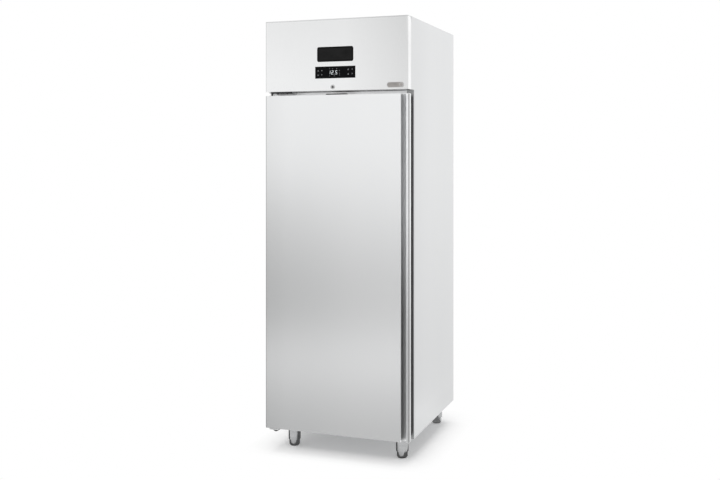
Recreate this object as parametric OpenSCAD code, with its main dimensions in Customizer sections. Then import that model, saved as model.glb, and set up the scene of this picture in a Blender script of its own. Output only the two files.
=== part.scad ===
// Upright refrigerated cabinet with one solid door, made of folded stainless sheet.
// X runs across the front, Y from the door to the rear, Z up from the floor.
// The origin is on the floor, under the middle of the cabinet.

/* [Cabinet] */
// Width over the side panels
cabinet_w = 720; // [700:1:800]
// Depth from the plates on the header to the rear panel
cabinet_d = 800; // [780:1:880]
// Height from the floor to the top panel
cabinet_h = 2070; // [2040:1:2200]
// Height of the underside above the floor
floor_gap = 115; // [110:1:140]
// Thickness of the folded outer sheets
sheet_t = 1.2; // [0.8:0.1:1.5]
// Outer radius of the bends in the outer sheets
bend_r = 2.2; // [2:0.1:3]
// Thickness of the liner sheets inside the cabin
liner_t = 1; // [0.8:0.1:1.5]
// Thickness of the rear wall, over both of its sheets
rear_wall = 52; // [40:1:70]

/* [Header] */
// Height of the header panel
header_h = 337; // [320:1:350]
// Depth of the returns round the header panel
header_ret = 38; // [34:1:44]
// Gap between the header panel and the side panels behind it
header_seam = 0.5; // [0.4:0.1:1]
// How far the glass and the plates stand proud of the header
plate_proud = 1.2; // [0.8:0.1:2]

/* [Door] */
// Gap between the door and the header
door_gap_top = 19; // [18:1:24]
// Height of the door's lower edge above the underside of the cabinet
door_lift = 5; // [4:1:10]
// Depth of the outer panel of the door
door_pan_d = 38; // [36:1:44]
// Thickness of the door without its gasket
door_t = 66; // [60:1:72]
// Gap between the inner face of the door and the cabinet
gasket_gap = 17; // [14:1:20]
// Width of the metal face that the gasket lies on
seal_w = 34; // [32:1:38]
// Width of the frame between that face and the cabin
frame_w = 26; // [22:1:30]
// Width of the finger channel at the opening side
channel_w = 38.4; // [34:0.1:44]
// Depth of the finger channel
channel_d = 30; // [24:1:31]
// Depth of the folded lip over the channel
lip_d = 11; // [9:1:13]
// How far the channel reaches under the lip
undercut = 13; // [12:1:18]
// Wall of the handle profile
handle_t = 1.4; // [1.2:0.1:1.6]

/* [Door hinges] */
// Distance of the hinge axis from the side of the door
pivot_x = 22; // [20:1:26]
// Distance of the hinge axis behind the face of the door
pivot_y = 24; // [20:1:28]
// Radius of the hinge pins
pin_r = 5; // [4:0.5:6]
// Outer radius of the bushes in the door
bush_r = 9; // [8:0.5:10]
// Running clearance of every shaft in its bore
run_fit = 0.05; // [0.02:0.01:0.09]

/* [Front fittings] */
// Width of the touch control
control_w = 202; // [180:1:220]
// Height of the touch control
control_h = 56; // [48:1:60]
// Height of the middle of the touch control above the header's lower edge
control_z = 86; // [80:1:92]
// Width of the black plate
plate_w = 182; // [160:1:220]
// Height of the black plate
plate_h = 70; // [60:1:80]
// Height of the middle of the black plate above the header's lower edge
plate_z = 171; // [165:1:200]
// Width of the pill-shaped badge
badge_w = 82; // [60:1:90]
// Height of the pill-shaped badge
badge_h = 25; // [18:1:28]
// Distance of the badge's middle from the side of the header
badge_x = 63; // [60:1:100]
// Height of the badge's middle above the header's lower edge
badge_z = 21; // [19:1:30]
// Radius of the lock's face
lock_r = 11; // [10:0.5:13]
// Distance of the lock to the left of the middle
lock_x = 12; // [0:1:20]
// Height of the lock above the header's lower edge
lock_z = 17; // [16:1:20]
// Length of the keeper strip on the door
keeper_w = 110; // [90:1:130]
// Height of the keeper strip
keeper_h = 6; // [5:0.5:8]

/* [Feet] */
// Distance of the legs from the sides
leg_x = 81; // [78:1:100]
// Distance of the front legs from the front
leg_front = 158; // [150:1:200]
// Distance of the rear legs from the rear
leg_rear = 48; // [46:1:90]
// Radius of the leg sleeves
sleeve_r = 30; // [28:0.5:32]
// Radius of the screwed foot inserts
foot_r = 26; // [24:0.5:27]
// Height of the sleeves' lower edges above the floor
sleeve_z = 32; // [30:1:36]

/* [Cabin fittings] */
// Width of a shelf's edge that lies on each runner
shelf_bite = 11.3; // [9:0.1:20]
// Gap between a shelf and the cabin's front and rear
shelf_gap = 18.9; // [15:0.1:30]
// Radius of the rim wire of a shelf
rim_r = 3.5; // [3:0.5:4]
// Thickness of the cross wires of a shelf
wire_t = 3; // [2.5:0.5:4]
// Distance between the cross wires
wire_pitch = 30; // [20:1:40]
// Distance between the slots in the rack uprights
slot_pitch = 60; // [50:1:75]
// Width of a rack upright
upright_w = 30; // [25:1:36]
// Depth of a rack upright
upright_d = 12; // [10:1:14]

/* [Refrigeration unit] */
// Distance of the ceiling ports' middle from the left side
port_side = 255; // [250:1:275]
// Distance of the intake port's middle behind the cabinet's front
intake_front = 186; // [170:1:190]
// Distance of the outlet port's middle from the rear
outlet_rear = 190; // [180:1:200]
// Distance of the evaporator coil's middle from the rear
coil_rear = 310; // [300:1:318]
// Distance of the compressor's middle from the rear
compressor_rear = 380; // [375:1:390]
// Height of the evaporator box
evap_h = 285; // [275:1:295]
// Tip radius of the evaporator fan
evap_fan_r = 92; // [80:1:96]
// Tip radius of the condenser fan
cond_fan_r = 88; // [80:1:92]
// Number of blades on each fan
fan_blades = 5; // [4:1:7]
// Pitch of the blades
blade_pitch = 30; // [22:1:36]
// Radius of the compressor shell
compressor_r = 76; // [65:1:80]
// Height of the compressor
compressor_h = 190; // [160:1:200]
// Outer radius of the refrigerant pipes
pipe_r = 4; // [3:0.5:5]
// Distance between the fins of the heat exchangers
fin_pitch = 10; // [8:1:14]

/* [Hidden] */

steel = [0.82, 0.83, 0.84];
galvanised = [0.72, 0.74, 0.76];
dark = [0.1, 0.1, 0.11];
foam_yellow = [0.93, 0.87, 0.68];
copper = [0.78, 0.46, 0.3];

// Segments in each bend of a sheet, and in the arcs of the handle profile
bend_steps = 4;
arc_steps = 14;
// Clearance of a seated piece beside its neighbour
seat = 0.3;
eps = 0.01;

// Planes of the cabinet
half_w = cabinet_w / 2;
front = -cabinet_d / 2;
rear = cabinet_d / 2;
face = front + plate_proud;
body_front = face + door_t + gasket_gap;
header_z = cabinet_h - header_h;
cheek_y = face + header_ret + header_seam;
door_z0 = floor_gap + door_lift;
door_z1 = header_z - door_gap_top;

// Cabin inside the liner
cabin_x = half_w - seal_w - frame_w;
cabin_z0 = door_z0 + seal_w + frame_w;
cabin_z1 = door_z1 - seal_w - frame_w;
cabin_y1 = rear - rear_wall;
frame_d = 6;
cabin_y0 = body_front + frame_d;
deck_z = header_z + 10;

// Folded edges of the sheets
rear_flange = 20;
cheek_flange = 18;
rear_sheet_y = rear - 2 * sheet_t;

// Points of a path whose corners [x, y, radius] are rounded
function unit(v) = v / norm(v);
function flat(p) = [p[0], p[1]];
function bend(a, b, c) =
  let (u = unit(flat(a) - flat(b)))
  let (w = unit(flat(c) - flat(b)))
  let (half = acos(u * w) / 2)
  let (mid = flat(b) + unit(u + w) * b[2] / sin(half))
  let (s = flat(b) + u * b[2] / tan(half) - mid)
  let (e = flat(b) + w * b[2] / tan(half) - mid)
  let (from = atan2(s[1], s[0]))
  let (turn = (atan2(e[1], e[0]) - from + 540) % 360 - 180)
  [for (i = [0:bend_steps]) mid + b[2] * dir(from + turn * i / bend_steps)];
function dir(a) = [cos(a), sin(a)];
function path_points(p) =
  [for (i = [0:len(p) - 1])
    each (len(p[i]) < 3 ? [flat(p[i])] : bend(p[i - 1], p[i], p[i + 1]))];

// Line that lies a distance to the left of a path, and the band between the two
function left_of(d) = [-d[1], d[0]];
function side_line(p, t) =
  let (last = len(p) - 1)
  [for (i = [0:last])
    let (n1 = left_of(unit(p[max(i, 1)] - p[max(i, 1) - 1])))
    let (n2 = left_of(unit(p[min(i, last - 1) + 1] - p[min(i, last - 1)])))
    p[i] + t * (n1 + n2) / (1 + n1 * n2)];
function reversed(p) = [for (i = [len(p) - 1:-1:0]) p[i]];

// Section of a folded sheet along a path, with its thickness to the left
module sheet_section(p, t) {
  pts = path_points(p);
  polygon(concat(pts, reversed(side_line(pts, t))));
}

// Profiles drawn in plan, in side view (y, z) and in front view (x, z)
module along_z(z0, z1) {
  translate([0, 0, z0]) linear_extrude(z1 - z0) children();
}
module along_x(x0, x1) {
  translate([x0, 0, 0]) rotate([90, 0, 90]) linear_extrude(x1 - x0) children();
}
module along_y(y0, y1) {
  translate([0, y1, 0]) rotate([90, 0, 0]) linear_extrude(y1 - y0) children();
}
module block(lo, hi) {
  translate(lo) cube(hi - lo);
}
module box_xy(x0, x1, y0, y1) {
  translate([x0, y0]) square([x1 - x0, y1 - y0]);
}
module both_sides() {
  children();
  mirror([1, 0, 0]) children();
}
module rod_z(r, z0, z1, sides = 48) {
  translate([0, 0, z0]) cylinder(h = z1 - z0, r = r, $fn = sides);
}
module rod_y(r, y0, y1, sides = 48) {
  translate([0, y1, 0]) rotate([90, 0, 0]) cylinder(h = y1 - y0, r = r, $fn = sides);
}
module rod_x(r, x0, x1, sides = 48) {
  translate([x0, 0, 0]) rotate([0, 90, 0]) cylinder(h = x1 - x0, r = r, $fn = sides);
}
module ring(r, wire, sides = 48) {
  rotate_extrude($fn = sides) translate([r, 0]) circle(r = wire, $fn = 16);
}
// Plate with round corners in plan or in front view
module rounded_rect(w, h, r) {
  square([w - 2 * r, h], center = true);
  square([w, h - 2 * r], center = true);
  for (sx = [-1, 1], sy = [-1, 1])
    translate([sx * (w / 2 - r), sy * (h / 2 - r)]) circle(r = r, $fn = 32);
}

// Outer shell

// Relief at the upper front corner of the side panels, where the header's top edge swings past
dash_pivot_y = face + header_ret - 5;
dash_pivot_z = cabinet_h - 6;
relief = norm([cheek_y - header_seam - dash_pivot_y, cabinet_h - dash_pivot_z])
  - (cheek_y - dash_pivot_y) + 2 * seat;
relief_h = 2 * (cabinet_h - dash_pivot_z) + 4;

module side_panel() {
  color(steel) {
    along_z(floor_gap, header_z)
      sheet_section([[-half_w + seal_w, body_front], [-half_w, body_front, bend_r],
        [-half_w, rear, bend_r], [-half_w + rear_flange, rear]], -sheet_t);
    difference() {
      along_z(header_z, cabinet_h)
        sheet_section([[-half_w + cheek_flange, cheek_y], [-half_w, cheek_y, bend_r],
          [-half_w, rear, bend_r], [-half_w + rear_flange, rear]], -sheet_t);
      block([-half_w - 1, cheek_y - 1, cabinet_h - relief_h],
        [-half_w + cheek_flange + 1, cheek_y + relief, cabinet_h + 1]);
    }
  }
}
module side_panel_left() side_panel();
module side_panel_right() mirror([1, 0, 0]) side_panel();

module rear_panel() {
  x = half_w - sheet_t - bend_r;
  color(galvanised) {
    block([-x, rear_sheet_y, floor_gap + sheet_t], [x, rear_sheet_y + sheet_t, deck_z]);
    // Swaged ribs that stiffen the sheet
    for (rib = [-1, 1])
      along_z(floor_gap + 150, deck_z - 200)
        polygon([[rib * x / 3 - 12, rear_sheet_y + sheet_t], [rib * x / 3 + 12, rear_sheet_y + sheet_t],
          [rib * x / 3 + 8, rear - eps], [rib * x / 3 - 8, rear - eps]]);
  }
}

// Vent slots in rows
module slots(columns, rows, pitch_x, pitch_y, w, h) {
  for (i = [0:columns - 1], k = [0:rows - 1])
    translate([(i - (columns - 1) / 2) * pitch_x, (k - (rows - 1) / 2) * pitch_y])
      square([w, h], center = true);
}

top_flange = 22;
module top_panel() {
  x = half_w - sheet_t - seat;
  y0 = cheek_y + relief;
  y1 = rear_sheet_y - seat;
  color(galvanised) {
    difference() {
      block([-x, y0, cabinet_h - sheet_t], [x, y1, cabinet_h]);
      translate([0, (y0 + y1) / 2, cabinet_h - sheet_t - 1])
        linear_extrude(sheet_t + 2) slots(4, 8, 130, 36, 100, 8);
    }
    both_sides()
      block([-x, y0 + bend_r, cabinet_h - top_flange], [-x + sheet_t, y1, cabinet_h - eps]);
  }
}

module base_panel() {
  x = half_w - sheet_t - bend_r;
  rise = door_z0 + seal_w;
  color(galvanised) {
    block([-x, body_front + bend_r, floor_gap], [x, rear_sheet_y - seat, floor_gap + sheet_t]);
    along_x(-half_w + seal_w + seat, half_w - seal_w - seat)
      sheet_section([[body_front, rise], [body_front, floor_gap, bend_r],
        [body_front + 2 * seal_w, floor_gap]], sheet_t);
  }
}

module upper_front_rail() {
  x = half_w - sheet_t - seat;
  color(steel) {
    along_x(-half_w + seal_w + seat, half_w - seal_w - seat)
      sheet_section([[cheek_y, header_z], [body_front, header_z, bend_r],
        [body_front, door_z1 - seal_w]], sheet_t);
    both_sides()
      block([-x, cheek_y + sheet_t + bend_r, header_z],
        [-half_w + seal_w + seat + eps, body_front - bend_r, header_z + sheet_t]);
  }
}

// Ports in the ceiling, for the air that the evaporator draws in and blows out
port_x = -half_w + port_side;
intake_y = body_front + intake_front;
intake_r = evap_fan_r + 8;
outlet_w = 300;
outlet_d = 40;
outlet_y = rear - outlet_rear;
module ceiling_ports(z0, z1, grow = 0) {
  translate([port_x, intake_y, 0]) rod_z(intake_r + grow, z0, z1, 64);
  block([port_x - outlet_w / 2 - grow, outlet_y - outlet_d / 2 - grow, z0],
    [port_x + outlet_w / 2 + grow, outlet_y + outlet_d / 2 + grow, z1]);
}

module machine_deck() {
  x = half_w - sheet_t - bend_r;
  color(galvanised) difference() {
    block([-x, body_front + sheet_t + seat, deck_z - sheet_t], [x, rear_sheet_y, deck_z]);
    ceiling_ports(deck_z - sheet_t - 1, deck_z + 1);
  }
}

// Four mitred bars round a rectangle, each with the children's section (outwards, y)
module mitred_frame(w, h, joint) {
  reach = 2 * frame_w;
  for (side = [0:3]) {
    long = side % 2 == 0 ? w : h;
    across = side % 2 == 0 ? h : w;
    rotate([0, side * 90, 0]) intersection() {
      along_x(-long / 2 - reach, long / 2 + reach)
        rotate(90) translate([across / 2, 0]) mirror([0, 1]) children();
      along_y(-cabinet_d, cabinet_d)
        polygon([[-long / 2 - reach + joint, across / 2 + reach],
          [long / 2 + reach - joint, across / 2 + reach],
          [long / 2 - reach - joint, across / 2 - reach],
          [-long / 2 + reach + joint, across / 2 - reach]]);
    }
  }
}

opening_mid = (cabin_z0 + cabin_z1) / 2;
module front_frame() {
  color(dark) translate([0, 0, opening_mid])
    mitred_frame(2 * cabin_x, cabin_z1 - cabin_z0, seat / 3)
      polygon([[0, body_front + sheet_t], [2, body_front], [frame_w - seat, body_front],
        [frame_w - seat, body_front + frame_d], [0, body_front + frame_d]]);
}

module insulation() {
  x = half_w - sheet_t;
  y0 = body_front + sheet_t;
  c = bend_r;
  color(foam_yellow) difference() {
    along_z(floor_gap + sheet_t, deck_z - sheet_t)
      polygon([[-x + c, y0], [x - c, y0], [x, y0 + c], [x, rear_sheet_y - c], [x - c, rear_sheet_y],
        [-x + c, rear_sheet_y], [-x, rear_sheet_y - c], [-x, y0 + c]]);
    block([-cabin_x - liner_t, y0 - 1, cabin_z0 - liner_t],
      [cabin_x + liner_t, cabin_y1 + liner_t, cabin_z1 + liner_t]);
    block([-cabin_x - frame_w, y0 - 1, cabin_z0 - frame_w],
      [cabin_x + frame_w, cabin_y0, cabin_z1 + frame_w]);
    // The bends of the rail and the base sheet
    block([-x - 1, y0 - 1, header_z - 3 * bend_r], [x + 1, y0 + bend_r, header_z + 3 * bend_r]);
    block([-x - 1, y0 - 1, floor_gap], [x + 1, y0 + bend_r, floor_gap + 3 * bend_r]);
    ceiling_ports(cabin_z1 - 1, deck_z);
  }
}

// Liner

cove_r = 18;
rear_leg = cove_r + 4;
module liner_side() {
  color(steel) along_z(cabin_z0, cabin_z1)
    sheet_section([[-cabin_x, cabin_y0], [-cabin_x, cabin_y1, cove_r],
      [-cabin_x + rear_leg, cabin_y1]], liner_t);
}
module liner_left() liner_side();
module liner_right() mirror([1, 0, 0]) liner_side();

module liner_rear() {
  x = cabin_x - rear_leg - seat / 3;
  color(steel) block([-x, cabin_y1, cabin_z0], [x, cabin_y1 + liner_t, cabin_z1]);
}

module liner_ceiling() {
  color(steel) difference() {
    block([-cabin_x - liner_t, cabin_y0, cabin_z1],
      [cabin_x + liner_t, cabin_y1 + liner_t, cabin_z1 + liner_t]);
    ceiling_ports(cabin_z1 - 1, cabin_z1 + liner_t + 1);
  }
}

module liner_floor() {
  color(steel) block([-cabin_x - liner_t, cabin_y0, cabin_z0 - liner_t],
    [cabin_x + liner_t, cabin_y1 + liner_t, cabin_z0]);
}

// Cabin fittings

shelf_count = 3;
rack_z0 = cabin_z0 + 30;
rack_slots = floor((cabin_z1 - 80 - rack_z0) / slot_pitch);
rack_z1 = rack_z0 + slot_pitch * rack_slots;
rack_t = 1.5;
upright_y = [cabin_y0 + 90, cabin_y1 - 90];
slot_w = 16;
slot_h = 6;
runner_t = 1.5;
runner_leg = 34;

function slot_z(i) = rack_z0 + slot_pitch * (i + 0.5);

module rack_uprights() {
  color(steel) both_sides() for (y = upright_y)
    translate([-cabin_x, y, 0]) difference() {
      along_z(rack_z0, rack_z1)
        sheet_section([[0, -upright_w / 2], [upright_d, -upright_w / 2, bend_r],
          [upright_d, upright_w / 2, bend_r], [0, upright_w / 2]], rack_t);
      for (i = [0:rack_slots - 1])
        block([upright_d - 2 * rack_t, -slot_w / 2, slot_z(i) - slot_h / 2],
          [upright_d + 1, slot_w / 2, slot_z(i) + slot_h / 2]);
    }
}

// Slot that carries each shelf, counted from below
shelf_slots = [for (k = [0:shelf_count - 1]) 4 + floor(k * (rack_slots - 6) / shelf_count)];
function shelf_z(k) = slot_z(shelf_slots[k]) + slot_h / 2 - 1;

// Angle runner with two hooks that hang in the slots of the uprights
module shelf_runner(z) {
  x = -cabin_x + upright_d + seat;
  y0 = upright_y[0] - upright_w / 2 - 20;
  y1 = upright_y[1] + upright_w / 2 + 20;
  along_y(y0, y1)
    sheet_section([[x, z - 22], [x, z, bend_r], [x + runner_leg, z, bend_r],
      [x + runner_leg, z - 8]], -runner_t);
  for (y = upright_y)
    block([x - 2 * rack_t, y - slot_w / 2 + 1, z - slot_h + 1.5],
      [x + runner_t / 2, y + slot_w / 2 - 1, z - 3]);
}
module shelf_runners() {
  color(steel) both_sides()
    for (k = [0:shelf_count - 1]) shelf_runner(shelf_z(k));
}

// Welded wire shelf, with its rim on the runners and the cross wires let into the rim
shelf_w = 2 * (cabin_x - upright_d - seat - runner_leg + shelf_bite);
shelf_d = cabin_y1 - cabin_y0 - 2 * shelf_gap;
shelf_corner = 20;
module grid_shelf(k) {
  w = shelf_w / 2 - rim_r;
  d = shelf_d / 2 - rim_r;
  wires = floor((2 * w - 2 * shelf_corner) / wire_pitch);
  y_mid = (upright_y[0] + upright_y[1]) / 2;
  color(steel) translate([0, y_mid, shelf_z(k) + rim_r + seat]) {
    for (s = [-1, 1]) {
      translate([0, s * d, 0]) rod_x(rim_r, -w + shelf_corner, w - shelf_corner, 24);
      translate([s * w, 0, 0]) rod_y(rim_r, -d + shelf_corner, d - shelf_corner, 24);
      for (t = [-1, 1])
        translate([s * (w - shelf_corner), t * (d - shelf_corner), 0])
          rotate(t > 0 ? (s > 0 ? 0 : 90) : (s > 0 ? 270 : 180))
            rotate_extrude(angle = 90, $fn = 48) translate([shelf_corner, 0]) circle(r = rim_r, $fn = 24);
    }
    for (i = [0:wires])
      translate([(i - wires / 2) * wire_pitch, 0, 0])
        block([-wire_t / 2, -d, 0], [wire_t / 2, d, wire_t]);
    for (y = [-d / 3, d / 3])
      block([-w, y - wire_t / 2, -wire_t], [w, y + wire_t / 2, eps]);
  }
}
module grid_shelf_1() grid_shelf(0);
module grid_shelf_2() grid_shelf(1);
module grid_shelf_3() grid_shelf(2);

lamp_w = 360;
lamp_d = 24;
lamp_h = 12;
module cabin_lamp() {
  d = lamp_d / 2;
  h = lamp_h;
  color([0.95, 0.95, 0.92]) translate([0, cabin_y0 + 28 + d, cabin_z1])
    along_x(-lamp_w / 2, lamp_w / 2)
      polygon([[-d, 0], [d, 0], [0.75 * d, -0.75 * h], [d / 3, -h], [-d / 3, -h],
        [-0.75 * d, -0.75 * h]]);
}

// Evaporator in its insulated box on the deck, over the two ceiling ports

evap_wall = 22;
evap_x0 = port_x - outlet_w / 2 - evap_wall - 15;
evap_x1 = port_x + outlet_w / 2 + evap_wall + 15;
evap_y0 = intake_y - intake_r - evap_wall - 12;
evap_y1 = outlet_y + outlet_d / 2 + evap_wall + 12;
evap_z1 = deck_z + evap_h;

module evaporator_box() {
  w = evap_wall;
  color([0.86, 0.87, 0.88]) difference() {
    along_x(evap_x0, evap_x1)
      polygon(path_points([[evap_y0, deck_z], [evap_y1, deck_z], [evap_y1, evap_z1, 12],
        [evap_y0, evap_z1, 12], [evap_y0, deck_z]]));
    block([evap_x0 + w, evap_y0 + w, deck_z - 1], [evap_x1 - w, evap_y1 - w, evap_z1 - w]);
    // Pipe entry and drain
    translate([0, pipe_y, evap_pipe_z]) rod_x(pipe_r + seat, evap_x1 - w - 1, evap_x1 + 1);
    translate([0, drain_y, drain_z]) rod_x(drain_r + seat, evap_x1 - w - 1, evap_x1 + 1);
  }
}

// Finned block with return bends at both ends of its tubes
module finned_coil(w, d, h, rows) {
  fins = floor(w / fin_pitch);
  pitch = h / rows;
  gap = fin_pitch * 0.6;
  difference() {
    block([-w / 2, -d / 2, 0], [w / 2, d / 2, h]);
    for (i = [0:fins - 1], s = [-1, 1])
      translate([(i - (fins - 1) / 2) * fin_pitch, s * d / 2, h / 2])
        cube([gap, d * 0.7, h - 6], center = true);
  }
  for (i = [0:rows - 2], s = [-1, 1])
    if ((i % 2 == 0) == (s > 0))
      translate([s * (w / 2 - eps), 0, pitch * (i + 1)]) rotate([s * 90, 0, 0])
        rotate([0, 0, s > 0 ? -90 : 90])
          rotate_extrude(angle = 180, $fn = 48) translate([pitch / 2, 0]) circle(r = pipe_r, $fn = 24);
}

coil_w = evap_x1 - evap_x0 - 2 * evap_wall - 50;
coil_y = rear - coil_rear;
tray_h = 34;
coil_z = deck_z + tray_h;
coil_h = evap_z1 - evap_wall - coil_z - 12;
coil_d = 70;
module evaporator_coil() {
  color([0.8, 0.8, 0.82]) translate([(evap_x0 + evap_x1) / 2, coil_y, coil_z])
    finned_coil(coil_w, coil_d, coil_h, 6);
}

// Tray under the coil, with a drain pipe through the side of the box
tray_t = 2;
drain_r = 7;
drain_z = deck_z + 17;
drain_y = coil_y + 28;
tray_d = coil_d + 30;
module drip_tray() {
  x0 = evap_x0 + evap_wall + 1;
  x1 = evap_x1 - evap_wall - 1;
  color(galvanised) {
    difference() {
      block([x0, coil_y - tray_d / 2, deck_z], [x1, coil_y + tray_d / 2, coil_z - seat]);
      block([x0 + tray_t, coil_y - tray_d / 2 + tray_t, drain_z - drain_r + 1.5],
        [x1 - tray_t, coil_y + tray_d / 2 - tray_t, coil_z - 8]);
      // The ends carry the coil and the long sides are lower
      for (s = [-1, 1])
        block([x0 + tray_t, coil_y + s * (tray_d / 2 - tray_t - 4) - 4, coil_z - 9],
          [x1 - tray_t, coil_y + s * (tray_d / 2 - tray_t - 4) + 4, coil_z]);
    }
    translate([0, drain_y, drain_z]) difference() {
      rod_x(drain_r, x1 - eps, evap_x1 + 30);
      rod_x(drain_r - 1.5, x1 - tray_t - 1, evap_x1 + 31);
    }
  }
}

// Fan rotor on the Z axis: domed hub with a bore and cambered blades
hub_r = 27;
shaft_r = 4;
hub_h = 26;
blade_t = 2;
module fan_rotor(tip_r) {
  chord = 2 * 3.1416 * (hub_r + tip_r) / 2 / fan_blades * 0.72;
  camber = chord * 1.1;
  span = asin(chord / 2 / camber);
  difference() {
    union() {
      rotate_extrude($fn = 64)
        polygon(path_points([[0, 0], [hub_r, 0], [hub_r, hub_h, 6], [0, hub_h + 1]]));
      for (i = [0:fan_blades - 1])
        rotate(i * 360 / fan_blades) intersection() {
          translate([hub_r - 4, 0, hub_h / 2]) rotate([blade_pitch, 0, 0]) rotate([90, 0, 90])
            linear_extrude(tip_r - hub_r + 4)
              translate([0, -camber * (1 + cos(span)) / 2])
                polygon(concat([for (a = [-4:4]) camber * dir(90 - a * span / 4)],
                  [for (a = [4:-1:-4]) (camber + blade_t) * dir(90 - a * span / 4)]));
          rod_z(tip_r, -40, 60, 64);
        }
    }
    rod_z(shaft_r + run_fit, -1, hub_h - 5);
  }
}

// Fan motor on the Z axis, below its rotor, with a shaft that enters the hub
motor_h = 52;
module fan_motor(r, length) {
  rotate_extrude($fn = 64)
    polygon(path_points([[0, 0], [r, 0, 3], [r, length, 6], [14, length], [14, length + 5],
      [shaft_r, length + 5], [shaft_r, length + hub_h - 2], [0, length + hub_h - 2]]));
}
motor_gap = 8;

evap_rotor_z = deck_z - 46;
module evaporator_fan() {
  color(dark) translate([port_x, intake_y, evap_rotor_z + hub_h]) rotate([180, 0, 0])
    fan_rotor(evap_fan_r);
}
evap_motor_top = evap_z1 - evap_wall;
evap_motor_r = 32;
module evaporator_fan_motor() {
  length = evap_motor_top - evap_rotor_z - hub_h - motor_gap;
  color(dark) translate([port_x, intake_y, evap_motor_top]) rotate([180, 0, 0])
    fan_motor(evap_motor_r, length);
}
module evaporator_fan_guard() {
  color(steel) translate([port_x, intake_y, cabin_z1]) {
    for (r = [24:20:intake_r - 14]) translate([0, 0, -5]) ring(r, 1.5);
    for (i = [0:3]) rotate(i * 90 + 45)
      along_y(-1.5, 1.5)
        polygon(path_points([[16, -6], [intake_r - 4, -6, 4], [intake_r + 6, 0, 4], [intake_r + 16, 0],
          [intake_r + 16, -2], [intake_r + 7, -2, 3], [intake_r - 3, -9, 3], [16, -9]]));
  }
}

// Condensing unit on the deck, at the right

unit_x = (evap_x1 + half_w) / 2 + 8;
cond_w = 200;
cond_h = 210;
cond_d = 40;
cond_z = deck_z + 45;
cond_y = rear_sheet_y - 8 - cond_d / 2;
module condenser() {
  color([0.25, 0.25, 0.27]) {
    translate([unit_x, cond_y, cond_z]) finned_coil(cond_w, cond_d, cond_h, 7);
    for (s = [-1, 1])
      block([unit_x + s * (cond_w / 2 - 20) - 6, cond_y - cond_d / 2, deck_z],
        [unit_x + s * (cond_w / 2 - 20) + 6, cond_y + cond_d / 2, cond_z + eps]);
  }
}
shroud_t = 2;
shroud_y = cond_y - cond_d / 2 - shroud_t;
fan_z = cond_z + cond_h / 2;
shroud_ring = 26;
module condenser_shroud() {
  r = cond_fan_r + 4;
  color(galvanised) translate([unit_x, 0, 0]) difference() {
    union() {
      block([-cond_w / 2, shroud_y, cond_z], [cond_w / 2, shroud_y + shroud_t, cond_z + cond_h]);
      translate([0, 0, fan_z]) rod_y(r + shroud_t, shroud_y - shroud_ring, shroud_y + eps, 64);
    }
    translate([0, 0, fan_z]) rod_y(r, shroud_y - shroud_ring - 1, shroud_y + shroud_t + 1, 64);
  }
}
cond_rotor_y = shroud_y - shroud_ring;
module condenser_fan() {
  color(dark) translate([unit_x, cond_rotor_y, fan_z]) rotate([-90, 0, 0]) fan_rotor(cond_fan_r);
}
cond_motor_y = cond_rotor_y - motor_gap;
cond_motor_r = 30;
module condenser_fan_motor() {
  reach = cond_fan_r + 4 + shroud_t;
  color(dark) translate([unit_x, 0, fan_z]) {
    translate([0, cond_motor_y - motor_h, 0]) rotate([-90, 0, 0]) fan_motor(cond_motor_r, motor_h);
    // Three arms that hold the motor on the ring of the shroud
    for (a = [90, 210, 330]) rotate([0, a, 0]) {
      block([cond_motor_r - 2, cond_motor_y - 8, -4], [reach + 6, cond_motor_y - 4, 4]);
      block([reach + seat, cond_motor_y - 8, -4], [reach + 6, cond_rotor_y + 12, 4]);
    }
  }
}

comp_y = rear - compressor_rear;
comp_x = unit_x + 5;
// Stubs on the compressor that the pipes are brazed to
port_offset = compressor_r * 0.5;
port_h = compressor_h + 6;
module compressor() {
  r = compressor_r;
  h = compressor_h;
  foot = 14;
  color([0.08, 0.08, 0.09]) translate([comp_x, comp_y, deck_z]) {
    // Two drawn shells welded at a seam, on a plate with rubber feet
    rotate_extrude($fn = 64)
      polygon(path_points([[0, foot + 3], [r * 0.8, foot + 3, r * 0.2], [r, foot + 12, 14],
        [r, foot + h * 0.42], [r + 3, foot + h * 0.42], [r + 3, foot + h * 0.46], [r, foot + h * 0.46],
        [r, h * 0.8, r * 0.35], [r * 0.55, h, r * 0.5], [0, h]]));
    translate([0, 0, foot]) linear_extrude(3 + eps) rounded_rect(2 * r + 30, 2 * r, 12);
    for (sx = [-1, 1], sy = [-1, 1])
      translate([sx * (r + 3), sy * (r - 12), 0]) rod_z(9, 0, foot + eps, 32);
    for (s = [-1, 1]) translate([s * port_offset, 0, 0]) rod_z(pipe_r + 1.5, h * 0.7, port_h, 32);
  }
}

// Run of pipe along the axes, with an elbow at each inner point
elbow_r = 14;
module elbow(p, u, w, r) {
  c = p - u * elbow_r + w * elbow_r;
  z = cross(u, w);
  multmatrix([[-w[0], u[0], z[0], c[0]], [-w[1], u[1], z[1], c[1]], [-w[2], u[2], z[2], c[2]],
      [0, 0, 0, 1]])
    rotate_extrude(angle = 90, $fn = 48) translate([elbow_r, 0]) circle(r = r, $fn = 24);
}
module pipe(p, r) {
  last = len(p) - 1;
  for (i = [0:last - 1]) {
    u = unit(p[i + 1] - p[i]);
    a = p[i] + (i == 0 ? 0 : elbow_r - eps) * u;
    b = p[i + 1] - (i == last - 1 ? 0 : elbow_r - eps) * u;
    translate(a) rotate([0, acos(u[2]), atan2(u[1], u[0])])
      cylinder(h = norm(b - a), r = r, $fn = 24);
  }
  for (i = [1:last - 1])
    elbow(p[i], unit(p[i] - p[i - 1]), unit(p[i + 1] - p[i]), r);
}

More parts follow.
